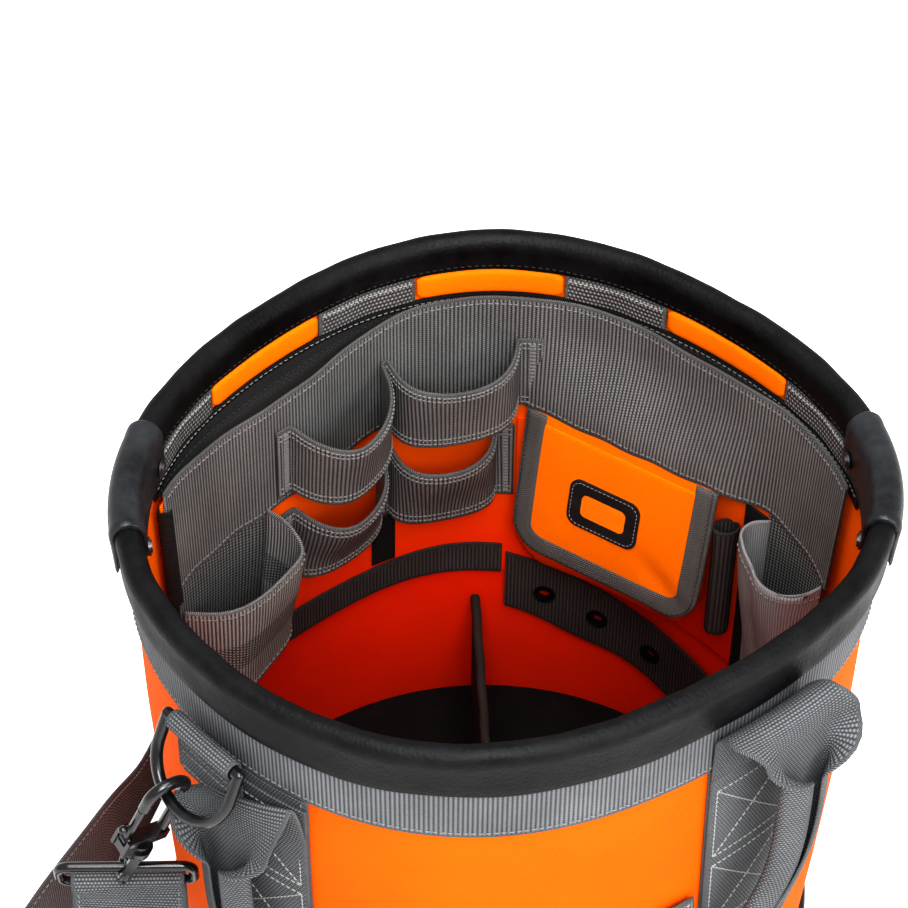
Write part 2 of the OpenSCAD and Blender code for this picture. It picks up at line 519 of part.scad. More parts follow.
// Strap ring: a rounded rectangle of wire, its upper bar in the swivel's eye, along x
ring_bend = 5;
ring_in_w = strap_w + 2;
ring_in_h = 12;
bar_half = ring_in_w / 2 + ring_wire_r - ring_bend;
ring_drop = ring_in_h + 2 * ring_wire_r;
ring_tilt = 17;            // lean of the ring back towards the bucket
module ring_corner() rotate([90, 0, 0])
    rotate_extrude(angle = 90) translate([ring_bend, 0]) circle(ring_wire_r);
module strap_ring() union() {
    for (z = [0, -ring_drop]) translate([0, 0, z]) rotate([0, 90, 0])
        cylinder(r = ring_wire_r, h = 2 * bar_half, center = true);
    for (s = [0, 1]) mirror([s, 0, 0]) {
        translate([bar_half + ring_bend, 0, -ring_drop + ring_bend])
            cylinder(r = ring_wire_r, h = ring_drop - 2 * ring_bend);
        translate([bar_half, 0, -ring_bend]) ring_corner();
        translate([bar_half, 0, -ring_drop + ring_bend]) mirror([0, 0, 1]) ring_corner();
    }
}
function side(a) = a > 180 ? 1 : -1;      // 1 at the front end of the strap, -1 at the back end
function eye_pt(a) = hook_pt(a, -eye_z);
function low_bar(a) = eye_pt(a) + ring_drop * [0, side(a) * sin(ring_tilt), -cos(ring_tilt)];
module at_eye(a) translate(eye_pt(a)) rotate([side(a) * ring_tilt, 0, 0]) strap_ring();
module front_strap_ring() color("#19191b") at_eye(front_ring_a);
module back_strap_ring() color("#19191b") at_eye(back_ring_a);

// ---- shoulder strap: a twisting ribbon from the front ring round the left side to the back ring ----
strap_t = 1.5;
wrap_r = ring_wire_r + 0.25 + strap_t / 2;
run_y = 182;               // the straight run behind the bucket, where the slider sits
run_x = 70;
run_z = 60;
slack_z = 94;
// Wrap over a ring's lower bar: from behind it, over the top, then down the front
function wrap(a) = let(c = low_bar(a), s = side(a)) concat(
    [c + [0, s * (wrap_r + 0.2), -26], c + [0, s * wrap_r, -10]],
    [for (b = [0 : 30 : 180]) c + wrap_r * [0, s * cos(b), sin(b)]],
    [c + [0, -s * (wrap_r + 0.4), -10]]);
x_dir = [1, 0, 0];
z_dir = [0, 0, 1];
front_wrap = wrap(front_ring_a);
back_wrap = wrap(back_ring_a);
// Free run: each entry is a point on the strap's middle and the direction of its width
free_run = [
    [low_bar(front_ring_a) + [-3, -wrap_r - 6, -30], unit([1, -0.15, 0.2])],
    [low_bar(front_ring_a) + [-16, -30, -56], unit([0.75, -0.35, 0.6])],
    [[-200, -168, slack_z], unit([0.1, -0.3, 1])],
    [[-226, -128, slack_z], z_dir],
    [[-207, -78, slack_z], z_dir],
    [[-182, -28, slack_z - 4], z_dir],
    [[-166, 25, run_z + 2], z_dir],
    [[-142, 98, run_z - 4], z_dir],
    [[-105, 155, run_z - 1], z_dir],
    [[-run_x - 12, run_y - 3, run_z], z_dir],
    [[-run_x, run_y, run_z], z_dir],
    [[-run_x / 2, run_y, run_z], z_dir],
    [[0, run_y, run_z], z_dir],
    [[run_x / 2, run_y, run_z], z_dir],
    [[run_x, run_y, run_z], z_dir],
    [[run_x + 33, run_y - 2, run_z + 7], z_dir],
    [[run_x + 60, run_y - 9, run_z + 30], unit([-0.4, 0, 0.9])],
    [low_bar(back_ring_a) + [4, wrap_r + 22, -62], unit([0.85, 0, 0.5])],
    [low_bar(back_ring_a) + [0, wrap_r + 7, -30], unit([1, 0, 0.15])]];
strap_ctrl = concat([for (p = front_wrap) [p, x_dir]], free_run,
    [for (i = [len(back_wrap) - 1 : -1 : 0]) [back_wrap[i], x_dir]]);
wrap_n = len(front_wrap);
// Catmull-Rom point f of the way from control i to i + 1, in row k of the control list
function spline(i, f, k) = let(c = strap_ctrl, n = len(c) - 1, p0 = c[max(0, i - 1)][k], p1 = c[i][k],
    p2 = c[i + 1][k], p3 = c[min(n, i + 2)][k])
    (2 * p1 + (p2 - p0) * f + (2 * p0 - 5 * p1 + 4 * p2 - p3) * f * f
        + (3 * p1 - p0 - 3 * p2 + p3) * f * f * f) / 2;
strap_steps = concat([for (i = [0 : wrap_n - 1]) [i, 0]],
    [for (i = [wrap_n : wrap_n + len(free_run) - 2], f = [0, 0.25, 0.5, 0.75]) [i, f]],
    [for (i = [wrap_n + len(free_run) - 1 : len(strap_ctrl) - 2]) [i, 0]], [[len(strap_ctrl) - 2, 1]]);
strap_pts = [for (s = strap_steps) spline(s[0], s[1], 0)];
strap_dirs = [for (s = strap_steps) unit(spline(s[0], s[1], 1))];
module shoulder_strap() color("#55575a") sweep([for (i = [0 : len(strap_pts) - 1])
    let(p = strap_pts[i], n = len(strap_pts) - 1,
        along = unit(strap_pts[min(n, i + 1)] - strap_pts[max(0, i - 1)]),
        side_dir = unit(strap_dirs[i] - along * (strap_dirs[i] * along)),
        s = side_dir * (strap_w - 2) / 2, f = cross(along, side_dir) * strap_t / 2)
    [p + s - f, p - s - f, p - s + f, p + s + f]]);
// Three-bar slider on the straight run
slider_h = 58;
slider_w = 24;
module strap_slider() color("#1c1c1e") translate([0, run_y, run_z]) rotate([90, 0, 0]) difference() {
    linear_extrude(7, center = true) rounded_rect(slider_w, slider_h, 4);
    cube([slider_w + 2, strap_w, strap_t + 0.6], center = true);
}

base_boot();
base_plate();
outer_shell();
lining();
rim_hoop();
rim_cover();
rim_sleeve_left();
rim_sleeve_right();
sleeve_rivets();
outer_band();
facing_panels();
hanger_tabs();
hook_tape();
organizer_backing();
organizer_band();
tool_loops_upper();
tool_loops_lower();
column_strap();
left_pocket_back();
left_pocket();
lower_band();
pouch_body();
pouch_tape();
pouch_flap();
flap_binding();
flap_tape();
flap_patch();
patch_inlay();
pen_sleeve();
side_strap();
right_pocket();
eyelet_strip();
eyelets();
divider();
divider_trim();
body_straps();
front_pocket();
front_pocket_trim();
handle_anchors();
front_handle();
back_handle();
d_ring_loops();
front_d_ring();
back_d_ring();
front_hook();
back_hook();
front_gate();
back_gate();
front_gate_pin();
back_gate_pin();
front_swivel();
back_swivel();
front_strap_ring();
back_strap_ring();
shoulder_strap();
strap_slider();
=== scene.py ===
"""Looks of the soft tool bucket: every cloth, web and leather piece is built here in mesh code
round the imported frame; the hardware comes from the frame and only gets its finishes.
Lengths are millimetres until a mesh is made, when they become metres."""

import json
import math

import bmesh
import bpy
import numpy as np
from mathutils import Matrix, Vector


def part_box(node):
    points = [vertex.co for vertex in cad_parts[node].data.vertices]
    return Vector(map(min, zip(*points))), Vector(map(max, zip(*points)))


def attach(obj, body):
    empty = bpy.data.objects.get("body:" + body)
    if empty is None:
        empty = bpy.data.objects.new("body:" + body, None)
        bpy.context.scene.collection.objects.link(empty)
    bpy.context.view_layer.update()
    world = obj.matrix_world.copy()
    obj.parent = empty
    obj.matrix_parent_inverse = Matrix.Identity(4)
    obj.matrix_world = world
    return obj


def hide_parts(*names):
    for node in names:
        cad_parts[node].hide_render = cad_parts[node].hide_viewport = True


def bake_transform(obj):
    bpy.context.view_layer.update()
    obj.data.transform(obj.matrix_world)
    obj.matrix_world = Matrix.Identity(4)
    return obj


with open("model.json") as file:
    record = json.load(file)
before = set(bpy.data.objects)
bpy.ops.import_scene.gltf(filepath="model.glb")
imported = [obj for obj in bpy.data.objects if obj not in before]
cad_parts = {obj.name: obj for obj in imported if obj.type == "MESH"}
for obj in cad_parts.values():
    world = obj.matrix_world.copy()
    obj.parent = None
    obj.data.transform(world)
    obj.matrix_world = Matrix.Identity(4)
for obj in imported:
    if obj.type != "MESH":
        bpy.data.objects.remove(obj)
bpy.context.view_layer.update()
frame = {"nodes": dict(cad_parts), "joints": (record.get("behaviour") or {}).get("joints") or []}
JOINTS = {j["name"]: j for j in frame["joints"]}
MM = 0.001
rng = np.random.default_rng(7)

# ---------------------------------------------------------------- driving dimensions
BUCKET_H = 310.0
RIM_R = 155.0
BASE_R = 151.0
BOOT_H = 40.0
RIM_PULL = 0.0375
STRAP_W = 50.0
RING_WEB_W = 38.0
WEB_T = 1.4
GAP = 0.3
BEAD_U = 5.4
BEAD_R = 6.5
BEAD_Z = BUCKET_H - BEAD_R
APRON_Z = BUCKET_H - 25
LIP_Z = BUCKET_H - 18
WALL_TOP = BUCKET_H - 14


def box_mm(name):
    """The two corners of a CAD node's box, in millimetres."""
    return [np.array(corner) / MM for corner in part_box(name)]


def joint_mm(name):
    return np.array(JOINTS[name]["pos_m"], float) / MM


# ---------------------------------------------------------------- the wall
def cosd(a):
    return np.cos(np.radians(a))


def sind(a):
    return np.sin(np.radians(a))


def smooth(x):
    c = np.clip(x, 0, 1)
    return c * c * (3 - 2 * c)


def bell(x):
    return np.where(np.abs(x) < 1, np.cos(np.radians(90 * np.clip(x, -1, 1))) ** 2, 0)


def rim_r(a):
    return RIM_R * (1 + RIM_PULL * cosd(2 * (a - 21)) + 0.022 * cosd(4 * (a + 3))
                    + 0.0215 * cosd(3 * (a + 12.3)))


def wall_r(a, z):
    return BASE_R + (rim_r(a) - BASE_R) * np.clip((z - BOOT_H) / (BUCKET_H - BOOT_H), 0, 1)


def at(a, z, u):
    """Points u inside the wall's outer edge, at angle a and height z."""
    a, z, u = np.broadcast_arrays(np.asarray(a, float), np.asarray(z, float), np.asarray(u, float))
    r = wall_r(a, z) - u
    return np.stack([r * cosd(a), r * sind(a), z], -1)


def puff(a, z):
    """Soft swell of the free-hanging cloth, outwards only, none at the boot and the rim."""
    window = smooth((z - 44) / 60) * smooth((262 - z) / 70)
    swell = 0.9 + 0.55 * sind(3 * a + 40) + 0.35 * sind(7 * a + 0.9 * z) + 0.3 * sind(11 * a - 1.3 * z + 60)
    return 1.1 * window * swell


def outside(a, z, u):
    return at(a, z, u - puff(a, z))


# ---------------------------------------------------------------- organizer depths
def stand_off(a):
    return 12 * bell((a - 137) / 45) + 3.5 * bell((a - 45) / 28)


def org_u(a, z):
    wave = 0.7 + 0.45 * sind(9 * a + 20) + 0.25 * sind(23 * a)
    return 8.4 + stand_off(a) * (0.35 + 0.65 * smooth((z - 100) / 107)) + wave * smooth((z - 150) / 60)


BACKING_T = 1.3
BAND_Z = (212.5, 277.7)
BAND_A = (7.5, 172.0)


def band_drop(a):
    return 5.5 * bell((a - 140) / 40)


def on_backing(rise):
    """Depth function of a sheet whose middle lies this far over the backing's face."""
    return lambda a, z: org_u(a, z) + BACKING_T + GAP + rise


band_u, band_face = on_backing(0.8), on_backing(1.6)


def chord_u(a):
    """Depth of the pouch flap's straight hinge line at angle a."""
    across = np.array([-HINGE_AXIS[1], HINGE_AXIS[0]])
    return wall_r(a, HINGE[2]) - (across @ HINGE[:2]) / (across[0] * cosd(a) + across[1] * sind(a))


def band_lean(a, z):
    """The band's lower half, pulled in to the flap's hinge line."""
    reach = np.clip(chord_u(a) + 0.4 - band_u(a, z), 0, None)
    return band_u(a, z) + reach * smooth((262 - z) / 48) * smooth((a - 26) / 11.5) * smooth((87 - a) / 6)


def face_at(a, z):
    """Depth of a web sewn on the face that the loops sit on: the band, or below it the backing."""
    on_band = band_face(a, z)
    on_back = org_u(a, z) + BACKING_T
    return GAP + WEB_T / 2 + np.where(z > BAND_Z[0] - 8, on_band, on_back)


# ---------------------------------------------------------------- the flap's hinge line
HINGE = joint_mm("flap_hinge")
HINGE_AXIS = -np.array(JOINTS["flap_hinge"]["axis"], float)


# ---------------------------------------------------------------- mesh building
def unit(v):
    return v / np.maximum(np.linalg.norm(v, axis=-1, keepdims=True), 1e-9)


def arc(points):
    """Running length along a polyline."""
    return np.concatenate([[0], np.cumsum(np.linalg.norm(np.diff(points, axis=0), axis=1))])


def pick(where, s, path):
    """The points of a path, or rows of values along it, at the running lengths given."""
    return np.stack([np.interp(where, s, column) for column in path.T], 1)


def spread(lo, hi, n, edge):
    """n steps from lo to hi, with extra ones close to both ends so that an edge can round off."""
    inner = np.linspace(lo + edge, hi - edge, n)
    near = np.array([0, 0.12, 0.45]) * edge
    return np.concatenate([lo + near, inner, (hi - near)[::-1]])


def quad_map(u0, v0, u1, v1, u2, v2, u3, v3):
    """Weave coordinates of a row of quads, four corners each."""
    return np.stack([u0, v0, u1, v1, u2, v2, u3, v3], 1).reshape(-1, 4, 2)


def skin(pts, thick, wrap=False, round_u=True, round_v=True):
    """A closed cloth round a grid of middle points (n, m, 3): its sides round off at the free edges."""
    n, m = pts.shape[:2]
    if wrap:
        du = np.roll(pts, -1, 0) - np.roll(pts, 1, 0)
        row = np.concatenate([pts[:, m // 2], pts[:1, m // 2]])
    else:
        du = np.gradient(pts, axis=0)
        row = pts[:, m // 2]
    dv = np.gradient(pts, axis=1)
    nor = unit(np.cross(du, dv))
    length_u = arc(row)
    across = np.mean(np.linalg.norm(np.diff(pts, axis=1), axis=2), axis=0)
    length_v = np.concatenate([[0], np.cumsum(across)])
    half = np.broadcast_to(np.asarray(thick, float) / 2, (n, m)).copy()
    edge = np.max(half)

    def rounded(lengths):
        d = np.minimum(lengths, lengths[-1] - lengths)
        return np.sqrt(1 - (1 - np.clip(d / edge, 0, 1)) ** 2)

    if round_v:
        half = half * np.maximum(rounded(length_v), 0.15)[None, :]
    if round_u and not wrap:
        half = half * np.maximum(rounded(length_u), 0.15)[:, None]
    verts = np.concatenate([(pts + nor * half[..., None]).reshape(-1, 3),
                            (pts - nor * half[..., None]).reshape(-1, 3)])
    count = n * m
    i = np.arange(n if wrap else n - 1)
    i2 = (i + 1) % n
    j = np.arange(m - 1)
    a, b = (i[:, None] * m + j).ravel(), (i2[:, None] * m + j).ravel()
    u0, u1 = np.repeat(length_u[i], m - 1), np.repeat(length_u[i + 1], m - 1)
    v0, v1 = np.tile(length_v[j], len(i)), np.tile(length_v[j + 1], len(i))
    top = np.stack([a, b, b + 1, a + 1], 1)
    top_uv = quad_map(u0, v0, u1, v0, u1, v1, u0, v1)
    faces = [top, count + top[:, ::-1]]
    uvs = [top_uv, top_uv[:, ::-1]]
    for k, flip in ((0, False), (m - 1, True)):
        c, d = i * m + k, i2 * m + k
        f = np.stack([c, c + count, d + count, d], 1)
        e0, e1 = length_u[i], length_u[i + 1]
        v = np.full(len(i), length_v[k])
        uv = quad_map(e0, v, e0, v, e1, v, e1, v)
        faces.append(f[:, ::-1] if flip else f)
        uvs.append(uv[:, ::-1] if flip else uv)
    if not wrap:
        for k, flip in ((0, True), (n - 1, False)):
            c = k * m + j
            f = np.stack([c, c + count, c + 1 + count, c + 1], 1)
            e0, e1 = length_v[j], length_v[j + 1]
            u = np.full(len(j), length_u[k])
            uv = quad_map(u, e0, u, e0, u, e1, u, e1)
            faces.append(f[:, ::-1] if flip else f)
            uvs.append(uv[:, ::-1] if flip else uv)
    faces, uvs = np.concatenate(faces), np.concatenate(uvs)
    size = np.broadcast_to(np.array([length_u[-1], length_v[-1]]), (len(faces), 4, 2))
    return verts, faces, uvs, size


def loft(rings, wrap=False):
    """A solid through closed rings of points (n, m, 3); open ends are closed by fans."""
    n, m = rings.shape[:2]
    row = np.concatenate([rings[:, 0], rings[:1, 0]]) if wrap else rings[:, 0]
    length_u = arc(row)
    ring = np.concatenate([rings[n // 2], rings[n // 2][:1]])
    length_v = arc(ring)
    i = np.arange(n if wrap else n - 1)
    i2 = (i + 1) % n
    j = np.arange(m)
    j2 = (j + 1) % m
    a, b = (i[:, None] * m + j).ravel(), (i2[:, None] * m + j).ravel()
    c, d = (i2[:, None] * m + j2).ravel(), (i[:, None] * m + j2).ravel()
    u0, u1 = np.repeat(length_u[i], m), np.repeat(length_u[i + 1], m)
    v0, v1 = np.tile(length_v[j], len(i)), np.tile(length_v[j + 1], len(i))
    faces = [np.stack([a, b, c, d], 1)]
    uvs = [quad_map(u0, v0, u1, v0, u1, v1, u0, v1)]
    verts = rings.reshape(-1, 3)
    if not wrap:
        hubs = np.stack([rings[0].mean(0), rings[-1].mean(0)])
        verts = np.concatenate([verts, hubs])
        for k, hub, flip in ((0, n * m, False), (n - 1, n * m + 1, True)):
            f = np.stack([k * m + j, k * m + j2, np.full(m, hub), np.full(m, hub)], 1)
            e0, e1, zero, one = length_v[j], length_v[j + 1], np.zeros(m), np.ones(m)
            uv = quad_map(e0, zero, e1, zero, e0, one, e0, one)
            faces.append(f[:, ::-1] if flip else f)
            uvs.append(uv[:, ::-1] if flip else uv)
    faces, uvs = np.concatenate(faces), np.concatenate(uvs)
    size = np.broadcast_to(np.array([length_u[-1], length_v[-1]]), (len(faces), 4, 2))
    return verts, faces, uvs, size


def mesh_object(name, parts, material):
    """One object from several skins or lofts, with its weave map and the size of each part."""
    verts, faces, uvs, sizes, base = [], [], [], [], 0
    for v, f, uv, size in parts:
        verts.append(v)
        faces.append(f + base)
        uvs.append(uv)
        sizes.append(size)
        base += len(v)
    verts, faces = np.concatenate(verts) * MM, np.concatenate(faces)
    uvs, sizes = np.concatenate(uvs) * MM, np.concatenate(sizes) * MM
    mesh = bpy.data.meshes.new(name)
    polys, poly_uv, poly_size = [], [], []
    for f, uv, size in zip(faces.tolist(), uvs, sizes):
        kept = slice(0, 3) if f[2] == f[3] else slice(int(f[0] == f[1]), 4)
        polys.append(f[kept])
        poly_uv.append(uv[kept])
        poly_size.append(size[kept])
    mesh.from_pydata(verts.tolist(), [], polys)
    for layer, data in (("weave", poly_uv), ("cut_size", poly_size)):
        mesh.uv_layers.new(name=layer).data.foreach_set("uv", np.concatenate(data).astype(np.float32).ravel())
    mesh.polygons.foreach_set("use_smooth", [True] * len(mesh.polygons))
    mesh.materials.append(material)
    mesh.update()
    obj = bpy.data.objects.new(name, mesh)
    bpy.context.scene.collection.objects.link(obj)
    return obj


def piece(name, parts, material, nodes=(), body="root"):
    """A finished piece: it rides on a body and stands for the CAD nodes named."""
    obj = mesh_object(name, parts, material)
    if body:
        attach(obj, body)
    if nodes:
        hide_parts(*nodes)
    return obj


def strip(a0, a1, z0, z1, u, step_a=1.5, step_z=3.0, place=at):
    """Grid on the wall; z0, z1 and u may be functions of the angle, or of angle and height."""
    edge_a = math.degrees(0.8 / RIM_R)
    a = spread(a0, a1, max(3, int((a1 - a0) / step_a)), edge_a)
    lo = z0(a) if callable(z0) else np.full_like(a, z0)
    hi = z1(a) if callable(z1) else np.full_like(a, z1)
    height = float(np.max(hi - lo))
    t = spread(0, 1, max(3, int(height / step_z)), 0.8 / height)
    z = lo[:, None] + (hi - lo)[:, None] * t[None, :]
    aa = np.broadcast_to(a[:, None], z.shape)
    uu = u(aa, z) if callable(u) else u
    return place(aa, z, uu)


def ring(z0, z1, u, step_z=6.0, place=at, count=180):
    a = np.linspace(0, 360, count, endpoint=False)
    t = spread(z0, z1, max(3, int((z1 - z0) / step_z)), 0.8)
    aa, zz = np.meshgrid(a, t, indexing="ij")
    return place(aa, zz, u)


def soften(path, radius, pitch):
    """A plan curve resampled at the pitch given, with its corners rounded off by a running mean."""
    s = arc(path)
    fine = np.linspace(0, s[-1], 400)
    dense = pick(fine, s, path)
    width = max(1, int(radius / (s[-1] / 400)))
    kernel = np.hanning(2 * width + 3)[1:-1]
    kernel /= kernel.sum()
    pad = len(kernel) // 2
    head = 2 * dense[0] - dense[pad:0:-1]
    tail = 2 * dense[-1] - dense[-2:-pad - 2:-1]
    ext = np.concatenate([head, dense, tail])
    dense = np.stack([np.convolve(ext[:, k], kernel, "valid") for k in range(path.shape[1])], 1)
    s = arc(dense)
    want = np.linspace(0, s[-1], max(8, int(s[-1] / pitch)))
    return pick(want, s, dense)


def resample(path, count):
    s = arc(path)
    return pick(np.linspace(0, s[-1], count), s, path)


# ---------------------------------------------------------------- stitches
threads = {}


def stitch_row(path, normals, pitch=3.0, length=2.2, radius=0.32, colour="light", body="root"):
    """A row of thread stitches lying on a surface, each a small arched capsule."""
    s = arc(path)
    count = int(s[-1] / pitch)
    if count < 1:
        return
    mids = (np.arange(count) + 0.5) * s[-1] / count
    where = pick(mids, s, path)
    nor = unit(pick(mids, s, normals))
    tan = unit(pick(mids + 0.3, s, path) - pick(mids - 0.3, s, path))
    side = unit(np.cross(nor, tan))
    tan = unit(tan + side * rng.normal(0, 0.07, (count, 1)))
    along = np.array([-0.5, -0.38, 0, 0.38, 0.5]) * length
    fat = np.array([0.35, 0.85, 1, 0.85, 0.35]) * radius
    lift = np.array([-0.9, -0.1, 0.35, -0.1, -0.9]) * radius
    turn = np.arange(6) * math.pi / 3
    for k in range(count):
        spine = where[k] + along[:, None] * tan[k] + lift[:, None] * nor[k]
        rings = (spine[:, None] + fat[:, None, None] * (np.cos(turn)[None, :, None] * side[k]
                 + np.sin(turn)[None, :, None] * nor[k]))
        threads.setdefault((body, colour), []).append(loft(rings))


def on_grid(pts, si, tj, lift):
    """Points and normals over a grid of middle points at fractional rows si and columns tj."""
    n, m = pts.shape[:2]
    nor = unit(np.cross(np.gradient(pts, axis=0), np.gradient(pts, axis=1)))

    def sample(grid):
        x, y = np.clip(si, 0, n - 1.001), np.clip(tj, 0, m - 1.001)
        x0, y0 = x.astype(int), y.astype(int)
        fx, fy = (x - x0)[:, None], (y - y0)[:, None]
        return ((1 - fx) * (1 - fy) * grid[x0, y0] + fx * (1 - fy) * grid[x0 + 1, y0]
                + (1 - fx) * fy * grid[x0, y0 + 1] + fx * fy * grid[x0 + 1, y0 + 1])

    normal = unit(sample(nor)) * np.sign(lift)
    return sample(pts) + normal * abs(lift), normal


def lengths(pts):
    """Running lengths along the middle row and the middle column of a grid."""
    return arc(pts[:, pts.shape[1] // 2]), arc(pts[pts.shape[0] // 2])


def stitch_over(pts, lift, u, v, **more):
    """Stitches over a grid, through the points at lengths u along it and v across it."""
    lu, lv = lengths(pts)
    si = np.interp(u, lu, np.arange(len(lu)))
    tj = np.interp(v, lv, np.arange(len(lv)))
    path, normals = on_grid(pts, si, tj, lift)
    stitch_row(path, normals, **more)


def seam(pts, lift, across=None, along=None, inset=4.0, **more):
    """Stitches over a whole grid: a row at a share of its width, or of its length, ends inset."""
    lu, lv = lengths(pts)
    if across is not None:
        u, v = np.linspace(inset, lu[-1] - inset, 120), np.full(120, across * lv[-1])
    else:
        u, v = np.full(60, along * lu[-1]), np.linspace(inset, lv[-1] - inset, 60)
    stitch_over(pts, lift, u, v, **more)


def seam_line(pts, lift, p, q, **more):
    """Stitches in a straight line over a grid, p and q as shares of its length and width."""
    lu, lv = lengths(pts)
    u, v = (np.linspace(p[k], q[k], 60) * line[-1] for k, line in enumerate((lu, lv)))
    stitch_over(pts, lift, u, v, **more)


# ---------------------------------------------------------------- materials
class Net:
    """A small material builder."""

    def __init__(self, name, owner=None):
        self.owner = owner or bpy.data.materials.new(name)
        self.owner.use_nodes = True
        self.tree = self.owner.node_tree
        self.shader = self.tree.nodes.get("Principled BSDF")

    def node(self, kind, **props):
        made = self.tree.nodes.new(kind)
        for key, value in props.items():
            setattr(made, key, value)
        return made

    def put(self, socket, value):
        if isinstance(value, bpy.types.NodeSocket):
            self.tree.links.new(value, socket)
        else:
            socket.default_value = value

    def math(self, op, a, b=0.0, c=None):
        made = self.node("ShaderNodeMath", operation=op)
        self.put(made.inputs[0], a)
        self.put(made.inputs[1], b)
        if c is not None:
            self.put(made.inputs[2], c)
        return made.outputs[0]

    def uv(self, layer="weave"):
        """Weave coordinates in millimetres."""
        made = self.node("ShaderNodeUVMap", uv_map=layer)
        split = self.node("ShaderNodeSeparateXYZ")
        self.put(split.inputs[0], made.outputs[0])
        return tuple(self.math("MULTIPLY", out, 1 / MM) for out in split.outputs[:2])

    def place(self):
        return self.node("ShaderNodeTexCoord").outputs["Object"]

    def noise(self, scale, detail=2.0, rough=0.5, stretch=None):
        made = self.node("ShaderNodeTexNoise")
        where = self.place()
        if stretch:
            mapping = self.node("ShaderNodeMapping")
            self.put(mapping.inputs["Vector"], where)
            mapping.inputs["Scale"].default_value = stretch
            where = mapping.outputs[0]
        self.put(made.inputs["Vector"], where)
        made.inputs["Scale"].default_value = scale
        made.inputs["Detail"].default_value = detail
        made.inputs["Roughness"].default_value = rough
        return made.outputs["Fac"]

    def wave(self, x, pitch, phase=0.0):
        """0 to 1 ridges along x."""
        turn = self.math("MULTIPLY_ADD", x, 2 * math.pi / pitch, phase)
        return self.math("MULTIPLY_ADD", self.math("COSINE", turn), 0.5, 0.5)

    def mix(self, share, a, b):
        made = self.node("ShaderNodeMix", data_type="RGBA")
        self.put(made.inputs[0], share)
        for socket, value in ((made.inputs[6], a), (made.inputs[7], b)):
            self.put(socket, value if isinstance(value, bpy.types.NodeSocket) else (*value, 1))
        return made.outputs[2]

    def ramp(self, value, lo, hi, to_lo=0.0, to_hi=1.0):
        made = self.node("ShaderNodeMapRange")
        for socket, v in zip(made.inputs, (value, lo, hi, to_lo, to_hi)):
            self.put(socket, v)
        return made.outputs[0]

    def scaled(self, colour, share):
        made = self.node("ShaderNodeMix", data_type="RGBA", blend_type="MULTIPLY")
        made.inputs[0].default_value = 1.0
        self.put(made.inputs[6], colour)
        grey = self.node("ShaderNodeCombineXYZ")
        for k in range(3):
            self.put(grey.inputs[k], share)
        self.put(made.inputs[7], grey.outputs[0])
        return made.outputs[2]

    def bump(self, height, depth, strength=1.0):
        made = self.node("ShaderNodeBump")
        made.inputs["Strength"].default_value = strength
        made.inputs["Distance"].default_value = depth * MM
        self.put(made.inputs["Height"], height)
        self.put(self.shader.inputs["Normal"], made.outputs[0])

    def finish(self, colour, rough, **extra):
        self.put(self.shader.inputs["Base Color"], colour if isinstance(colour, bpy.types.NodeSocket)
                 else (*colour, 1))
        self.put(self.shader.inputs["Roughness"], rough)
        for key, value in extra.items():
            self.put(self.shader.inputs[key.replace("_", " ")], value)
        return self.owner


def web_material(name, dark, light, rib=1.9, dot=1.3, dots=0.5, depth=0.45, coarse_band=None):
    """Woven webbing: ribs across its length, each broken into staggered floats, plain at the selvedge."""
    n = Net(name)
    x, y = n.uv()
    width = n.uv("cut_size")[1]
    row = n.math("FLOOR", n.math("DIVIDE", x, rib))
    ridge = n.wave(x, rib, math.pi)
    float_ = n.wave(y, dot, n.math("MULTIPLY", row, math.pi))
    share = dots
    if coarse_band:
        mid = n.math("ABSOLUTE", n.math("SUBTRACT", y, coarse_band[0]))
        share = n.ramp(mid, coarse_band[1] - 1, coarse_band[1] + 1, 0.95, dots * 0.5)
    height = n.math("MULTIPLY", n.math("POWER", ridge, 0.7),
                    n.math("SUBTRACT", 1.0, n.math("MULTIPLY", share, n.math("SUBTRACT", 1.0, float_))))
    edge = n.math("MINIMUM", y, n.math("SUBTRACT", width, y))
    selvedge = n.ramp(edge, 1.2, 2.2, 0.0, 1.0)
    fine = n.wave(n.math("ADD", x, y), 0.9)
    height = n.math("ADD", n.math("MULTIPLY", height, selvedge),
                    n.math("MULTIPLY", n.math("MULTIPLY", fine, 0.7), n.math("SUBTRACT", 1.0, selvedge)))
    fuzz = n.noise(900, 3, 0.6)
    patch = n.noise(28, 3, 0.55)
    tone = n.math("ADD", n.math("MULTIPLY", height, 0.85), n.math("MULTIPLY", fuzz, 0.3))
    colour = n.mix(n.ramp(tone, 0.1, 1.0), dark, light)
    colour = n.scaled(colour, n.ramp(patch, 0.3, 0.7, 0.82, 1.12))
    n.bump(n.math("ADD", height, n.math("MULTIPLY", fuzz, 0.35)), depth)
    rough = n.ramp(height, 0, 1, 0.85, 0.58)
    return n.finish(colour, rough, Specular_IOR_Level=0.25)


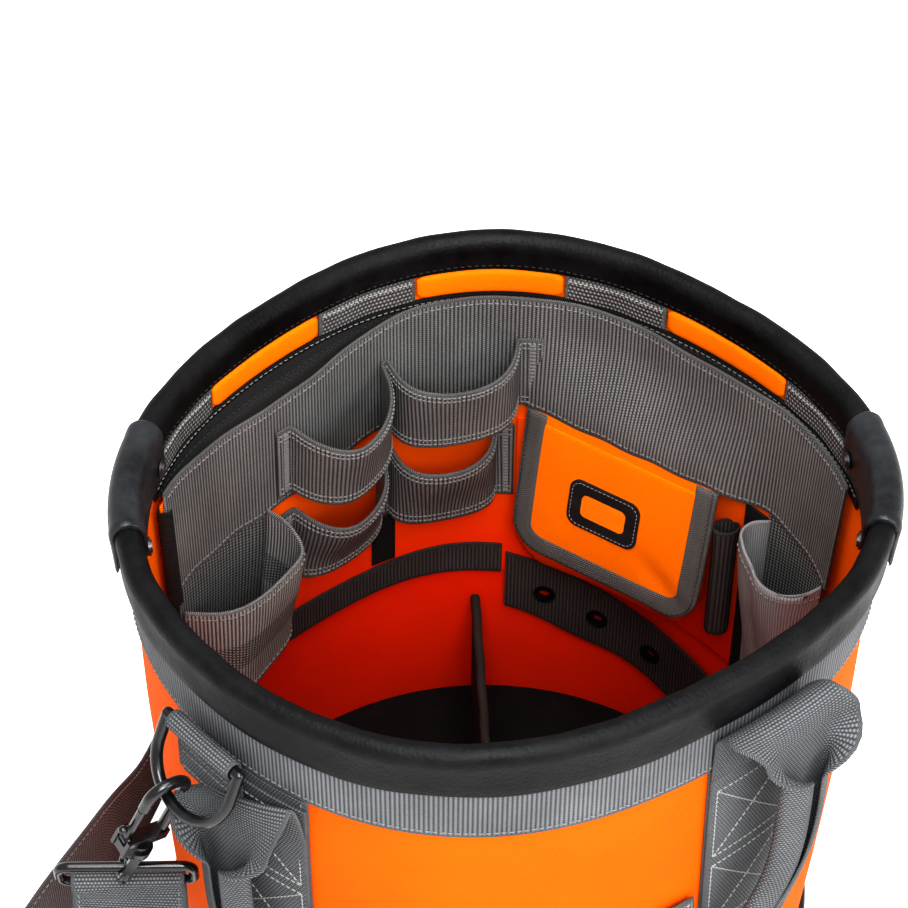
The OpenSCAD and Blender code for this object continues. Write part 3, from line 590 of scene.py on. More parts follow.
def cloth_material(name, dark, light, pitch=(0.85, 0.85), depth=0.12, rough=0.7, painted_shade_low=None):
    """Plain-woven ballistic nylon, with slight slubs and tone changes; an optional painted shade darkens and
    reddens it towards the bottom of the bucket.
    """
    n = Net(name)
    x, y = n.uv()
    wx, wy = n.wave(x, pitch[0] * 2), n.wave(y, pitch[1] * 2)
    over = n.math("MULTIPLY_ADD", n.math("SUBTRACT", wx, 0.5), n.math("SUBTRACT", wy, 0.5), 0.25)
    over = n.math("MULTIPLY", over, 2.0)
    slub = n.noise(420, 2, 0.6)
    patch = n.noise(16, 3, 0.55)
    height = n.math("ADD", over, n.math("MULTIPLY", slub, 0.4))
    colour = n.mix(n.ramp(height, 0.2, 1.2), dark, light)
    if painted_shade_low:
        # painted shade: below 0.23 m the colour turns to the shade colour, fully so below 0.10 m, standing in
        # for the shadow deep in the bucket
        split = n.node("ShaderNodeSeparateXYZ")
        n.put(split.inputs[0], n.place())
        colour = n.mix(n.ramp(split.outputs[2], 0.10, 0.23), painted_shade_low, colour)
    colour = n.scaled(colour, n.ramp(patch, 0.3, 0.7, 0.93, 1.05))
    n.bump(height, depth)
    return n.finish(colour, n.ramp(slub, 0.3, 0.7, rough - 0.06, rough + 0.08), Specular_IOR_Level=0.12)


def binding_material(name, dark, light):
    """Herringbone binding tape: diagonals that turn at each step across the tape."""
    n = Net(name)
    x, y = n.uv()
    lane = n.math("FLOOR", n.math("DIVIDE", y, 2.2))
    sign = n.math("SUBTRACT", n.math("MULTIPLY", n.math("PINGPONG", lane, 1.0), 2.0), 1.0)
    slant = n.math("ADD", x, n.math("MULTIPLY", n.math("MULTIPLY", sign, y), 1.0))
    ridge = n.wave(slant, 1.35)
    fuzz = n.noise(1100, 3, 0.6)
    tone = n.math("ADD", n.math("MULTIPLY", ridge, 0.8), n.math("MULTIPLY", fuzz, 0.35))
    n.bump(tone, 0.35)
    patch = n.noise(40, 2, 0.5)
    colour = n.scaled(n.mix(n.ramp(tone, 0.15, 1.0), dark, light), n.ramp(patch, 0.3, 0.7, 0.85, 1.1))
    return n.finish(colour, 0.78, Specular_IOR_Level=0.25)


def leather_material(name, dark, light, grain=650, depth=0.22, rough=0.5, shine=0.45):
    """Pebbled vinyl or leather, with worn, paler high spots."""
    n = Net(name)
    cells = n.node("ShaderNodeTexVoronoi", feature="SMOOTH_F1")
    n.put(cells.inputs["Vector"], n.place())
    cells.inputs["Scale"].default_value = grain
    cells.inputs["Smoothness"].default_value = 0.5
    wrinkle = n.noise(170, 4, 0.6)
    wear = n.noise(35, 4, 0.6)
    pebble = n.math("SUBTRACT", 1.0, cells.outputs["Distance"])
    height = n.math("ADD", n.math("MULTIPLY", pebble, 0.6), n.math("MULTIPLY", wrinkle, 0.9))
    n.bump(height, depth)
    colour = n.mix(n.ramp(n.math("ADD", wear, n.math("MULTIPLY", wrinkle, 0.5)), 0.55, 1.05), dark, light)
    return n.finish(colour, n.ramp(wear, 0.3, 0.7, rough - 0.08, rough + 0.1), Specular_IOR_Level=shine)


def metal_material(name, dark, light, rough=0.24, metallic=0.0, scratch=0.02):
    """Coated wire: glossy, with fine pits, and bare along the wear marks."""
    n = Net(name)
    pits = n.noise(700, 3, 0.6)
    smear = n.noise(60, 4, 0.65)
    n.bump(pits, scratch)
    colour = n.mix(n.ramp(smear, 0.55, 0.75), dark, light)
    return n.finish(colour, n.ramp(smear, 0.3, 0.75, rough - 0.05, rough + 0.15), Metallic=metallic,
                    Coat_Weight=0.35, Coat_Roughness=0.18)


def plastic_material(name, dark, light, rough=0.5, grain=900, depth=0.05):
    """Moulded plastic with a spark-eroded texture and scuffs."""
    n = Net(name)
    fine = n.noise(grain, 3, 0.6)
    scuff = n.noise(45, 5, 0.7, (1, 1, 3))
    n.bump(n.math("ADD", fine, n.math("MULTIPLY", scuff, 0.4)), depth)
    colour = n.mix(n.ramp(scuff, 0.5, 0.75), dark, light)
    return n.finish(colour, n.ramp(scuff, 0.3, 0.75, rough - 0.07, rough + 0.12))


def thread_material(name, dark, light):
    n = Net(name)
    x, y = n.uv()
    ply = n.wave(n.math("ADD", x, y), 0.5)
    n.bump(ply, 0.08)
    return n.finish(n.mix(ply, dark, light), 0.6)


ORANGE = cloth_material("orange_nylon", (0.78, 0.09, 0.0), (0.9, 0.155, 0.0))
POUCH = cloth_material("pouch_nylon", (0.8, 0.07, 0.0), (0.95, 0.13, 0.0))
ORANGE_PANEL = cloth_material("orange_panel", (0.90, 0.17, 0.0), (1.0, 0.26, 0.0), (0.6, 0.6), 0.08)
# the lining's last colour is painted shade, laid on the cloth low in the bucket
LINING = cloth_material("orange_lining", (0.9, 0.14, 0.0), (1.0, 0.2, 0.0), (0.6, 0.6), 0.06, 0.7,
                        (0.85, 0.035, 0.0))
WEB = web_material("grey_web", (0.02, 0.021, 0.021), (0.30, 0.305, 0.30), depth=0.5)
WEB_STRAP = web_material("strap_web", (0.025, 0.027, 0.029), (0.25, 0.26, 0.27), 1.4, 1.5, 0.75, 0.4)
WEB_COARSE = web_material("coarse_web", (0.012, 0.012, 0.012), (0.36, 0.365, 0.36), 2.2, 1.9, 0.9, 0.6)
WEB_POCKET = web_material("pocket_web", (0.03, 0.032, 0.032), (0.42, 0.43, 0.42), 1.7, 1.9, 0.35, 0.5,
                          (30.0, 9.0))
WEB_DARK = web_material("dark_web", (0.018, 0.016, 0.015), (0.11, 0.10, 0.095), 1.9, 1.2, 0.4, 0.4)
WEB_BLACK = web_material("black_web", (0.006, 0.006, 0.006), (0.03, 0.03, 0.031), 1.4, 1.1, 0.4, 0.3)
WEB_BAND = web_material("band_web", (0.05, 0.052, 0.055), (0.215, 0.22, 0.23), 1.9, 1.2, 0.3, 0.3)
WEB_PALE = web_material("pale_web", (0.14, 0.145, 0.15), (0.42, 0.43, 0.44), 1.1, 0.9, 0.4, 0.25)
BINDING = binding_material("binding", (0.03, 0.03, 0.029), (0.22, 0.22, 0.21))
TRIM = binding_material("divider_binding", (0.01, 0.009, 0.009), (0.07, 0.055, 0.05))
RIM = leather_material("rim_vinyl", (0.003, 0.003, 0.0035), (0.012, 0.0125, 0.0135), 620, 0.25, 0.5, 0.22)
SLEEVE = leather_material("sleeve_leather", (0.006, 0.0065, 0.0075), (0.036, 0.038, 0.043), 900, 0.12, 0.36)
BOOT = plastic_material("boot_plastic", (0.012, 0.012, 0.013), (0.04, 0.04, 0.042), 0.55)
PLATE = plastic_material("plate_plastic", (0.0005, 0.0005, 0.0005), (0.002, 0.002, 0.002), 0.9)
HOOP = plastic_material("hoop_plastic", (0.015, 0.015, 0.016), (0.035, 0.035, 0.036), 0.4)
METAL = metal_material("black_metal", (0.008, 0.008, 0.009), (0.02, 0.02, 0.022), 0.2)
PIN = metal_material("pin_steel", (0.35, 0.35, 0.36), (0.5, 0.5, 0.5), 0.3, 1.0)
RIVET = metal_material("rivet_metal", (0.05, 0.05, 0.055), (0.1, 0.1, 0.11), 0.3, 0.6)
PATCH = plastic_material("patch_rubber", (0.015, 0.015, 0.016), (0.03, 0.03, 0.032), 0.6, 500, 0.1)
INLAY = plastic_material("inlay_rubber", (0.9, 0.24, 0.004), (1.0, 0.3, 0.01), 0.5, 500, 0.08)
THREAD_LIGHT = thread_material("thread_light", (0.30, 0.30, 0.29), (0.5, 0.5, 0.48))
THREAD_GREY = thread_material("thread_grey", (0.16, 0.16, 0.155), (0.34, 0.34, 0.33))
THREAD_DARK = thread_material("thread_dark", (0.012, 0.012, 0.012), (0.04, 0.04, 0.04))


# ---------------------------------------------------------------- bucket wall, boot and rim
def bucket():
    piece("shell_cloth", [skin(ring(3.3, WALL_TOP, 5.2, 6, outside, 240), 2.0, True)],
          ORANGE, ["outer_shell"])
    piece("lining_cloth", [skin(ring(3.3, WALL_TOP, 7.0, 6, outside, 240), 1.0, True)],
          LINING, ["lining"])
    piece("rim_band", [skin(ring(BUCKET_H - 53, WALL_TOP, 3.25, 4, at, 240), 1.3, True)],
          WEB_BAND, ["outer_band"])
    a = np.linspace(0, 360, 241)[:-1]
    edge = at(a, np.full_like(a, BUCKET_H - 53 + 3.0), 2.5)
    stitch_row(np.concatenate([edge, edge[:1]]), np.concatenate([unit(edge * [1, 1, 0]),
               unit(edge[:1] * [1, 1, 0])]), colour="grey")


def boot():
    """Moulded tray with a rolled foot, three shallow grooves and a lip that grips the cloth."""
    outer, inner = BASE_R - 1.4, BASE_R - 3.9
    turns = np.linspace(0, 90, 7)
    profile = [(0, 0.4), (outer - 16, 0.4), (outer - 14, 0)]
    profile += [(outer - 4 + 4 * s, 4 - 4 * c) for s, c in zip(sind(turns), cosd(turns))]
    for z in (12.0, 19.0, 26.0):
        profile += [(outer, z - 1.6), (outer - 0.7, z - 0.6), (outer - 0.7, z + 0.6), (outer, z + 1.6)]
    profile += [(outer, 33.5), (outer + 0.9, 34.8), (outer + 1.0, 38.2), (outer + 0.2, 39.8),
                (inner + 0.4, 40), (inner, 39.2), (inner, 5), (inner - 3, 3), (0, 3)]
    profile = np.array(profile)
    a = np.linspace(0, 360, 180, endpoint=False)
    rings = np.stack([profile[:, 0] * cosd(a)[:, None], profile[:, 0] * sind(a)[:, None],
                      np.broadcast_to(profile[:, 1], (len(a), len(profile)))], -1)
    obj = piece("boot_tray", [loft(rings, True)], BOOT, ["base_boot"])
    weld(obj)
    sharpen(obj, 35)


def weld(obj):
    """Closes a mesh where its rings meet on the axis."""
    bm = bmesh.new()
    bm.from_mesh(obj.data)
    bmesh.ops.remove_doubles(bm, verts=bm.verts, dist=1e-6)
    bmesh.ops.dissolve_degenerate(bm, edges=bm.edges, dist=1e-7)
    bmesh.ops.recalc_face_normals(bm, faces=bm.faces)
    bm.to_mesh(obj.data)
    bm.free()


def sharpen(obj, angle):
    """Marks creases over an angle as sharp, so that moulded edges read."""
    bm = bmesh.new()
    bm.from_mesh(obj.data)
    for e in bm.edges:
        if len(e.link_faces) == 2:
            e.smooth = e.calc_face_angle(0) < math.radians(angle)
    bm.to_mesh(obj.data)
    bm.free()


def cover_profile(low_out, low_in, leg_out, leg_in, r, t):
    """Closed (u, z) outline of an inverted U: bead over the hoop, a leg outside and one inside."""
    out_b, in_b = np.linspace(-12, 192, 15), np.linspace(190, -10, 11)
    centre, wide = (leg_out + leg_in) / 2, (leg_in - leg_out) / 2 + 0.5
    over = [(centre - wide * cosd(b), BEAD_Z + r * sind(b)) for b in out_b]
    under = [(centre - (wide - t) * cosd(b), BEAD_Z + (r - t) * sind(b)) for b in in_b]
    top = BEAD_Z - r * 0.6
    outer_leg = [(leg_out, low_out + (top - low_out) * f) for f in (0.06, 0.3, 0.6, 1)]
    inner_leg = [(leg_in, low_in + (top - low_in) * f) for f in (1, 0.5, 0.08)]
    inner_back = [(leg_in - t, low_in + (top - low_in) * f) for f in (0.08, 0.5, 1)]
    outer_back = [(leg_out + t, low_out + (top - low_out) * f) for f in (1, 0.6, 0.3, 0.06)]
    foot_in = [(leg_in - 0.3 * t, low_in), (leg_in - 0.7 * t, low_in)]
    foot_out = [(leg_out + 0.7 * t, low_out), (leg_out + 0.3 * t, low_out)]
    return np.array(outer_leg + over + inner_leg + foot_in + inner_back + under + outer_back + foot_out)


def rim():
    profile = cover_profile(APRON_Z, LIP_Z, 0.0, 10.2, BEAD_R, 1.6)
    a = np.linspace(0, 360, 300, endpoint=False)
    wobble = 0.25 * sind(13 * a) + 0.18 * sind(29 * a + 40) + 0.12 * sind(47 * a)
    hang = 0.5 * sind(7 * a + 30) + 0.35 * sind(17 * a)
    low = profile[None, :, 1] < APRON_Z + 12
    z = profile[None, :, 1] + np.where(low, hang[:, None] * (APRON_Z + 12 - profile[None, :, 1]) / 12, 0)
    near_bead = np.clip((profile[None, :, 1] - APRON_Z - 4) / 10, 0, 1)
    u = profile[None, :, 0] - wobble[:, None] * near_bead * 0.8
    piece("rim_cover_vinyl", [loft(at(a[:, None], z, u), True)], RIM, ["rim_cover"])
    inner = at(a, np.full_like(a, LIP_Z + 2.6), 10.35)
    closed = np.concatenate([inner, inner[:1]])
    stitch_row(closed, -unit(closed * [1, 1, 0]), colour="dark", pitch=3.2)


def sleeves():
    """Leather wraps over the rim, thicker at the two rolled ends, with rounded inner flaps."""
    half = 11.5
    for name, mid in (("right", 0.0), ("left", 180.0)):
        d = spread(-half, half, 26, 0.55)
        e = np.clip((half - np.abs(d)) / 1.0, 0, 1)
        swell = 0.9 * np.exp(-((half - np.abs(d)) - 0.9) ** 2 / 0.5)
        rows = []
        for k, off in enumerate(d):
            roll = np.sqrt(1 - (1 - e[k]) ** 2)
            rise = 9 * smooth((abs(off) - 8.2) / 3.3) ** 1.5
            low_out, low_in = APRON_Z - 2 + rise * 0.15, LIP_Z - 8 + rise
            profile = cover_profile(low_out, low_in, -1.8, 12.4, BEAD_R + 1.7, 1.5)
            core = cover_profile(low_out, low_in, -1.2, 11.5, BEAD_R + 1.0, 0.2)
            mixed = core + (profile - core) * (0.25 + 0.75 * roll)
            centre = np.array([BEAD_U, BEAD_Z])
            grow = np.clip((np.linalg.norm(mixed - centre, axis=1) - BEAD_R) / 2, 0, 1)
            mixed = mixed + unit(mixed - centre) * (swell[k] * grow)[:, None] * (mixed[:, 1:] > LIP_Z - 9)
            rows.append(at(mid + off, mixed[:, 1], mixed[:, 0]))
        piece("sleeve_leather_" + name, [loft(np.array(rows))], SLEEVE,
              ["rim_sleeve_" + name])


# ---------------------------------------------------------------- hanger tabs and facing
FACING_Z = (BUCKET_H - 32, LIP_Z - GAP)
TAB_SPACING = 47.0
TAB_FIRST = 19.5
TAB_COUNT = 4
TAB_HALF = math.degrees(math.asin(STRAP_W / 2 / (RIM_R - 10)))
TAPE_Z = (BUCKET_H - 40, FACING_Z[0] - GAP)


def facing():
    tabs = []
    for k in range(TAB_COUNT):
        mid = TAB_FIRST + k * TAB_SPACING
        grid = strip(mid - TAB_HALF, mid + TAB_HALF, FACING_Z[0], FACING_Z[1],
                     lambda a, z: 9.0 + 0.3 * sind(31 * a), 0.8, 1.5)
        tabs.append(skin(grid.transpose(1, 0, 2)[:, ::-1], 2.2))
        seam(grid, -1.25, across=0.83, colour="light", inset=1.5, pitch=2.4)
    piece("hanger_tab_webs", tabs, WEB_COARSE, ["hanger_tabs"])
    panels = []
    for k in range(TAB_COUNT - 1):
        mid = TAB_FIRST + (k + 0.5) * TAB_SPACING
        half = TAB_SPACING / 2 - TAB_HALF - 0.3
        corner = 5.0

        def trim(a, mid=mid, half=half):
            d = np.clip((half - np.abs(a - mid)) * math.pi / 180 * (RIM_R - 9), 0, corner)
            return corner - np.sqrt(np.clip(corner ** 2 - (corner - d) ** 2, 0, None))

        z0, z1 = FACING_Z[0] + 0.4, FACING_Z[1]
        grid = strip(mid - half, mid + half, lambda a: z0 + 0.8 * trim(a), lambda a: z1 - 0.6 * trim(a),
                     9.0, 0.7, 1.2)
        n, m = grid.shape[:2]
        x, y = np.linspace(-1, 1, n)[:, None], np.linspace(-1, 1, m)[None, :]
        thick = 1.2 + 2.4 * (1 - np.abs(y) ** 2.5) * (1 - np.abs(x) ** 8)
        thick = thick + 0.12 * np.sin(x * 19) * (1 - y * y)
        panels.append(skin(grid, thick))
    piece("facing_panel_cloth", panels, ORANGE_PANEL, ["facing_panels"])
    tape = strip(5, 171.5, TAPE_Z[0], TAPE_Z[1], 8.7, 1.2, 2)
    piece("hanger_tape", [skin(tape, 1.6)], WEB_BLACK, ["hook_tape"])
    seam(tape, -0.9, across=0.72, colour="grey", inset=2)


# ---------------------------------------------------------------- organizer sheets
def organizer():
    back = strip(26, 172.4, 95, TAPE_Z[0] - GAP, lambda a, z: org_u(a, z) + BACKING_T / 2, 1.2, 4)
    piece("organizer_back_cloth", [skin(back, BACKING_T)], LINING, ["organizer_backing"])
    band = strip(BAND_A[0], BAND_A[1], lambda a: BAND_Z[0] - band_drop(a) + 0.5 * sind(29 * a),
                 lambda a: BAND_Z[1] - band_drop(a), band_lean, 0.8, 3)
    piece("organizer_band_web", [skin(band, 1.6)], WEB, ["organizer_band"])
    for share in (0.05, 0.94):
        seam(band, -1.0, across=share, colour="grey", inset=2)
    low = strip(86.4, 172, lambda a: 96 + 1.2 * sind(8 * a), lambda a: 115 + 1.5 * sind(8 * a + 40),
                on_backing(0.7), 0.8, 2)
    piece("lower_band_web", [skin(low, WEB_T)], WEB_DARK, ["lower_band"])
    for share in (0.12, 0.88):
        seam(low, -0.85, across=share, colour="dark", inset=2)
    for name, a0, a1, z0, z1, node in (("column_web", 108.4, 113.6, 116, 149, "column_strap"),
                                       ("side_web", 28.2, 33.4, 96, 209, "side_strap")):
        grid = strip(a0, a1, z0, z1, on_backing(0.7), 0.8, 2)
        piece(name, [skin(grid.transpose(1, 0, 2)[:, ::-1], WEB_T)], WEB_BLACK, [node])
    hem_and_gap_shadow()
    end_fold()


def hem_and_gap_shadow():
    """Dark hem that hangs the organizer from the tape; the same dark sheet spans the gap behind it as painted
    shadow.
    """
    a = spread(BAND_A[0] + 0.3, BAND_A[1] - 0.2, 150, 0.4)
    t = spread(0, 1, 8, 0.05)
    top = at(a, np.full_like(a, TAPE_Z[0] + 5), np.full_like(a, 10.2))
    foot = at(a, BAND_Z[1] - band_drop(a) - 2.5, band_u(a, BAND_Z[1] - band_drop(a)) - 1.7)
    grid = top[:, None] + (foot - top)[:, None] * t[None, :, None]
    sink = 2.5 * bell((a - 137) / 45)
    grid[..., 2] -= sink[:, None] * np.sin(np.pi * t)[None, :]
    # this dark sheet is partly the real hem and partly painted shadow filling the gap down to the band
    piece("organizer_hem", [skin(grid, 1.0)], WEB_BLACK)
    for lift in (0.7, -0.7):
        seam(grid, lift, across=0.3, colour="dark", inset=2, pitch=3.4, radius=0.4)


def end_fold():
    """Frayed dark binding round the organizer's left edge."""
    z = spread(97, TAPE_Z[0] - 2, 60, 0.8)
    ou = org_u(172.6, z)
    fray = 0.25 * np.sin(z * 0.9) + 0.18 * np.sin(z * 2.3 + 1)
    on_band = smooth((z - BAND_Z[0] + 6) / 4) * 1.9
    offsets = ((171.7, 3.1, 1), (172.2, 3.5, 1), (172.7, 3.2, 0.8), (173.0, 1.6, 0.5), (173.0, 0.4, 0),
               (172.7, -0.2, 0), (172.1, -0.3, 0), (171.6, -0.3, 0))
    rows = [at(a + fray * 0.12, z, ou + du + on_band * share + fray * 0.3) for a, du, share in offsets]
    piece("organizer_end_fold", [skin(np.stack(rows, 1), 1.0)], WEB_BLACK)


def bulge(hi, lo, h, z, e, n=40):
    t = np.linspace(0, 180, n)
    c = cosd(t)
    a = (hi + lo) / 2 + (hi - lo) / 2 * np.sign(c) * np.abs(c) ** 0.9
    depth = face_at(a, np.full_like(a, z)) + h * np.maximum(0, sind(t)) ** e
    return at(a, np.full_like(a, z), depth)[:, :2]


def loop_plan(angles, depth, z, e):
    """Plan of a web sewn down at both ends and in the middle, with two loops between."""
    def flat(a0, a1):
        a = np.linspace(a0, a1, 6)
        return at(a, np.full_like(a, z), face_at(a, np.full_like(a, z)))[:, :2]
    path = np.concatenate([flat(angles[0], angles[1])[:-1], bulge(angles[1], angles[2], depth, z, e),
                           flat(angles[2], angles[3])[1:-1], bulge(angles[3], angles[4], depth, z, e),
                           flat(angles[4], angles[5])[1:]])
    return soften(path, 2.6, 1.1)


def wall_web(low, high, z0, z1, sag=0.0, rows=16, lean=None):
    """Grid of a web standing on edge between two plan curves; its top edge may sag in the loops."""
    n = len(low)
    high = resample(high, n)
    t = spread(0, 1, rows, 0.8 / (z1 - z0))
    plan = low[:, None] + (high - low)[:, None] * smooth(t)[None, :, None]
    s = np.linspace(0, 1, n)
    dip = sag * np.sin(s * 2 * math.pi) ** 2
    tilt = lean(s) if lean else np.zeros(n)
    z = z0 + (z1 - z0) * t[None, :] - dip[:, None] * t[None, :] ** 2 + tilt[:, None]
    return np.concatenate([plan, np.broadcast_to(z, plan.shape[:2])[..., None]], -1)


def bar_tack(grid, lift, along, body="root"):
    """Dense zigzag of stitches down a sewn end."""
    for k in np.linspace(-0.5, 0.5, 5):
        seam(grid, lift, along=along + k * 0.012, colour="grey", pitch=2.0, length=1.9, inset=3, body=body)


def tool_loops():
    for name, angles, z0, z1, d0, d1, e0, node, sag in (
            ("upper_loop_web", [141, 137, 111.8, 110.2, 84.5, 79.5], 213, 255, 26, 31, 0.7,
             "tool_loops_upper", 5.0),
            ("lower_loop_web", [139.5, 135.5, 112.6, 109.6, 88.5, 84.5], 150, 198, 15, 27, 0.8,
             "tool_loops_lower", 4.0)):
        low = loop_plan(angles, d0, z0, e0)
        high = loop_plan(angles, d1, z1, 0.7)
        grid = wall_web(low, high, z0, z1, sag)
        piece(name, [skin(grid, 1.8)], WEB, [node])
        for share in (0.07, 0.14, 0.87, 0.94):
            seam(grid, 1.15, across=share, colour="grey", pitch=2.3, length=1.9, radius=0.4, inset=1)
        for along in (0.025, 0.5, 0.975):
            bar_tack(grid, 1.15, along)


def pocket_plan(hi, lo, face, depth, z, e, p=0.8, n=60):
    t = np.linspace(0, 180, n)
    c = cosd(t)
    a = (hi + lo) / 2 + (hi - lo) / 2 * np.sign(c) * np.abs(c) ** p
    zz = np.full_like(a, z)
    return at(a, zz, face(a, zz) + depth * np.maximum(0, sind(t)) ** e)[:, :2]


def foot_plan(hi, lo, face, z, count):
    a = np.linspace(hi, lo, count)
    zz = np.full_like(a, z)
    return at(a, zz, face(a, zz))[:, :2]


def floor_sheet(front, foot, z, thick):
    """Flat bottom of a pocket between its front curve and the wall."""
    n = len(front)
    foot = resample(foot, n)
    t = spread(0.0, 1.0, 5, 0.05)
    plan = foot[:, None] + (front - foot)[:, None] * t[None, :, None]
    return skin(np.concatenate([plan, np.full(plan.shape[:2] + (1,), z)], -1)[1:-1], thick)


LEFT_A, LEFT_Z = (171, 144.5), (140, 203)
RIGHT_A, RIGHT_Z = (27.2, 9.5), (118, 208)


def left_pocket():
    face = on_backing(WEB_T + GAP + 0.8)
    back = strip(143.9, 171.5, 117, 213, on_backing(0.5), 0.8, 2)
    piece("left_pocket_back_web", [skin(back, WEB_T)], WEB_COARSE, ["left_pocket_back"])
    z0, z1 = LEFT_Z
    low = soften(pocket_plan(*LEFT_A, face, 25, z0, 0.5, 0.7), 3, 1.1)
    high = soften(pocket_plan(*LEFT_A, face, 30, z1, 0.5, 0.7), 3, 1.1)
    grid = wall_web(low, high, z0, z1, 0, 22, lambda s: -3 + 6 * s)
    n, m = grid.shape[:2]
    s, t = np.linspace(0, 1, n)[:, None], np.linspace(0, 1, m)[None, :]
    grid[..., 2] += 7 * smooth((s - 0.72) / 0.2) * t ** 2
    foot = foot_plan(*LEFT_A, face, z0, len(low))
    piece("left_pocket_web", [skin(grid, 1.7), floor_sheet(low * 0.999, foot, z0 + 1.5, 1.4)],
          WEB_POCKET, ["left_pocket"])
    for share in (0.06, 0.94):
        seam(grid, 1.1, across=share, colour="grey", inset=1)


def right_pocket():
    def face(a, z):
        return org_u(a, z) + np.where(a > 25, BACKING_T + GAP, GAP) + 0.8
    z0, z1 = RIGHT_Z
    low = soften(pocket_plan(*RIGHT_A, face, 14, z0, 0.7, 0.85), 3, 1.1)
    high = soften(pocket_plan(*RIGHT_A, face, 26, z1, 0.7, 0.85), 3, 1.1)
    grid = wall_web(low, high, z0, z1, 0, 26)
    n, m = grid.shape[:2]
    s, t = np.linspace(0, 1, n)[:, None], np.linspace(0, 1, m)[None, :]
    middle = grid[..., :2].mean(axis=(0, 1))
    wave = 2.2 * np.sin(s * 9.5) * t ** 2 + 0.8 * np.sin(s * 17 + t * 5)
    grid[..., :2] += unit(grid[..., :2] - middle) * wave[..., None] * np.sin(np.pi * s)[..., None] ** 0.5
    grid[..., 2] += 5 * np.sin(s * 6.5 + 0.4) * t ** 3
    foot = foot_plan(*RIGHT_A, face, z0, len(low))
    piece("right_pocket_cloth", [skin(grid, 1.5), floor_sheet(low * 0.999, foot, z0 + 1.5, 1.4)],
          WEB_PALE, ["right_pocket"])
    seam(grid, 1.0, across=0.95, colour="grey", inset=1)
    back = strip(9.0, 28.0, 122, 218, on_backing(0.5), 0.8, 2)
    piece("right_pocket_back_web", [skin(back, 1.0)], WEB_COARSE)


# ---------------------------------------------------------------- flap pouch
FLAP_TILT = 9.0
FLAP_W, FLAP_L, BIND_W = 103.0, 76.0, 11.0
PANEL_W, PANEL_L = FLAP_W - 2 * BIND_W, FLAP_L - BIND_W
FLAP_T = 2.2


def flap_frame(p):
    """Flap coordinates, x along the hinge, y towards the wall and z up, to the bucket's."""
    t = math.radians(FLAP_TILT)
    along = unit(HINGE_AXIS)
    wall = np.array([-along[1], along[0], 0.0])
    y = p[..., 1:2] * math.cos(t) + p[..., 2:3] * math.sin(t)
    z = -p[..., 1:2] * math.sin(t) + p[..., 2:3] * math.cos(t)
    return HINGE + p[..., :1] * along + y * wall + z * np.array([0, 0, 1.0])


def flap_soft(p):
    """The cloth's own shape: a low crown, and a fold running to the lower right corner."""
    x, z = p[..., 0] / (FLAP_W / 2), -p[..., 2] / FLAP_L
    crown = 1.3 * (1 - np.clip(np.abs(x), 0, 1) ** 3) * np.clip(np.sin(np.pi * np.clip(z, 0, 1)), 0, 1)
    crease = np.exp(-((z - 0.95 + 0.42 * (1 - x)) / 0.10) ** 2) * smooth((x - 0.15) / 0.5)
    corner = smooth((x - 0.35) / 0.65) * smooth((z - 0.45) / 0.55)
    out = p.copy()
    out[..., 1] -= crown - 1.5 * crease + 2.4 * corner
    return out


def pouch():
    face = on_backing(0.8)
    along = unit(HINGE_AXIS)[:2]
    inward = np.array([along[1], -along[0]])

    def front(x, z):
        return HINGE[:2] + along * x + inward * ((HINGE[2] - z) * math.tan(math.radians(FLAP_TILT)) - 4.4)

    def plan(z):
        bl = at(84.2, z, face(84.2, z))[:2]
        br = at(41.8, z, face(41.8, z))[:2]
        fl, fr = front(-50, z), front(43.5, z)
        return soften(np.array([bl, fl, front(0, z), fr, br]), 9, 1.6)

    z0, z1, count = 112.0, 203.0, 150
    levels = spread(0, 1, 22, 0.01)
    rows = []
    foot_a = np.linspace(84.2, 41.8, count)
    for t in levels:
        z = z0 + (z1 - z0) * t
        curve = resample(plan(z), count)
        foot = at(foot_a, np.full(count, z), face(foot_a, np.full(count, z)))[:, :2]
        depth = math.sqrt(1 - (1 - min(1, (t + 0.02) / 0.28)) ** 2)
        xy = foot + (curve - foot) * depth
        rows.append(np.concatenate([xy, np.full((count, 1), z)], 1))
    grid = np.array(rows).transpose(1, 0, 2)
    s = np.linspace(0, 1, count)
    rise = 16 * (smooth((0.2 - s) / 0.2) + smooth((s - 0.8) / 0.2))
    grid[..., 2] += rise[:, None] * (1 - levels[None, :]) ** 3
    dent = 1.6 * np.sin(s * 11) * np.sin(np.pi * s)
    grid[..., :2] += (inward[None, None] * dent[:, None, None] * (1 - levels)[None, :, None]
                      * levels[None, :, None] * 2)
    piece("pouch_cloth", [skin(grid, 1.5)], POUCH, ["pouch_body"])
    seam(grid, 1.0, across=0.06, colour="dark", inset=6)


def flap():
    w, l = PANEL_W + 5, PANEL_L + 3
    x = spread(-w / 2, w / 2, 40, 1.0)
    z = spread(-l, 0, 34, 1.0)
    grid = np.zeros((len(x), len(z), 3))
    grid[..., 0], grid[..., 2], grid[..., 1] = x[:, None], z[None, :], -FLAP_T / 2
    corner = 9.0
    dx = np.clip(np.abs(x) - (w / 2 - corner), 0, corner)[:, None]
    low = -l + (corner - np.sqrt(corner ** 2 - dx ** 2))
    share = (z[None, :] + l) / l
    grid[..., 2] = low * (1 - share)
    crown = 0.8 * (1 - (np.abs(x) / (w / 2))[:, None] ** 4) * (1 - np.abs(2 * share - 1) ** 4)
    soft = flap_frame(flap_soft(grid))
    piece("flap_cloth", [skin(soft, FLAP_T + crown)], ORANGE_PANEL, ["pouch_flap"],
          "pouch_flap")
    normal = flap_frame(np.array([[0, -1.0, 0]])) - flap_frame(np.array([[0, 0.0, 0]]))
    flap_edge(normal)
    neck()
    patch_stitches(normal)


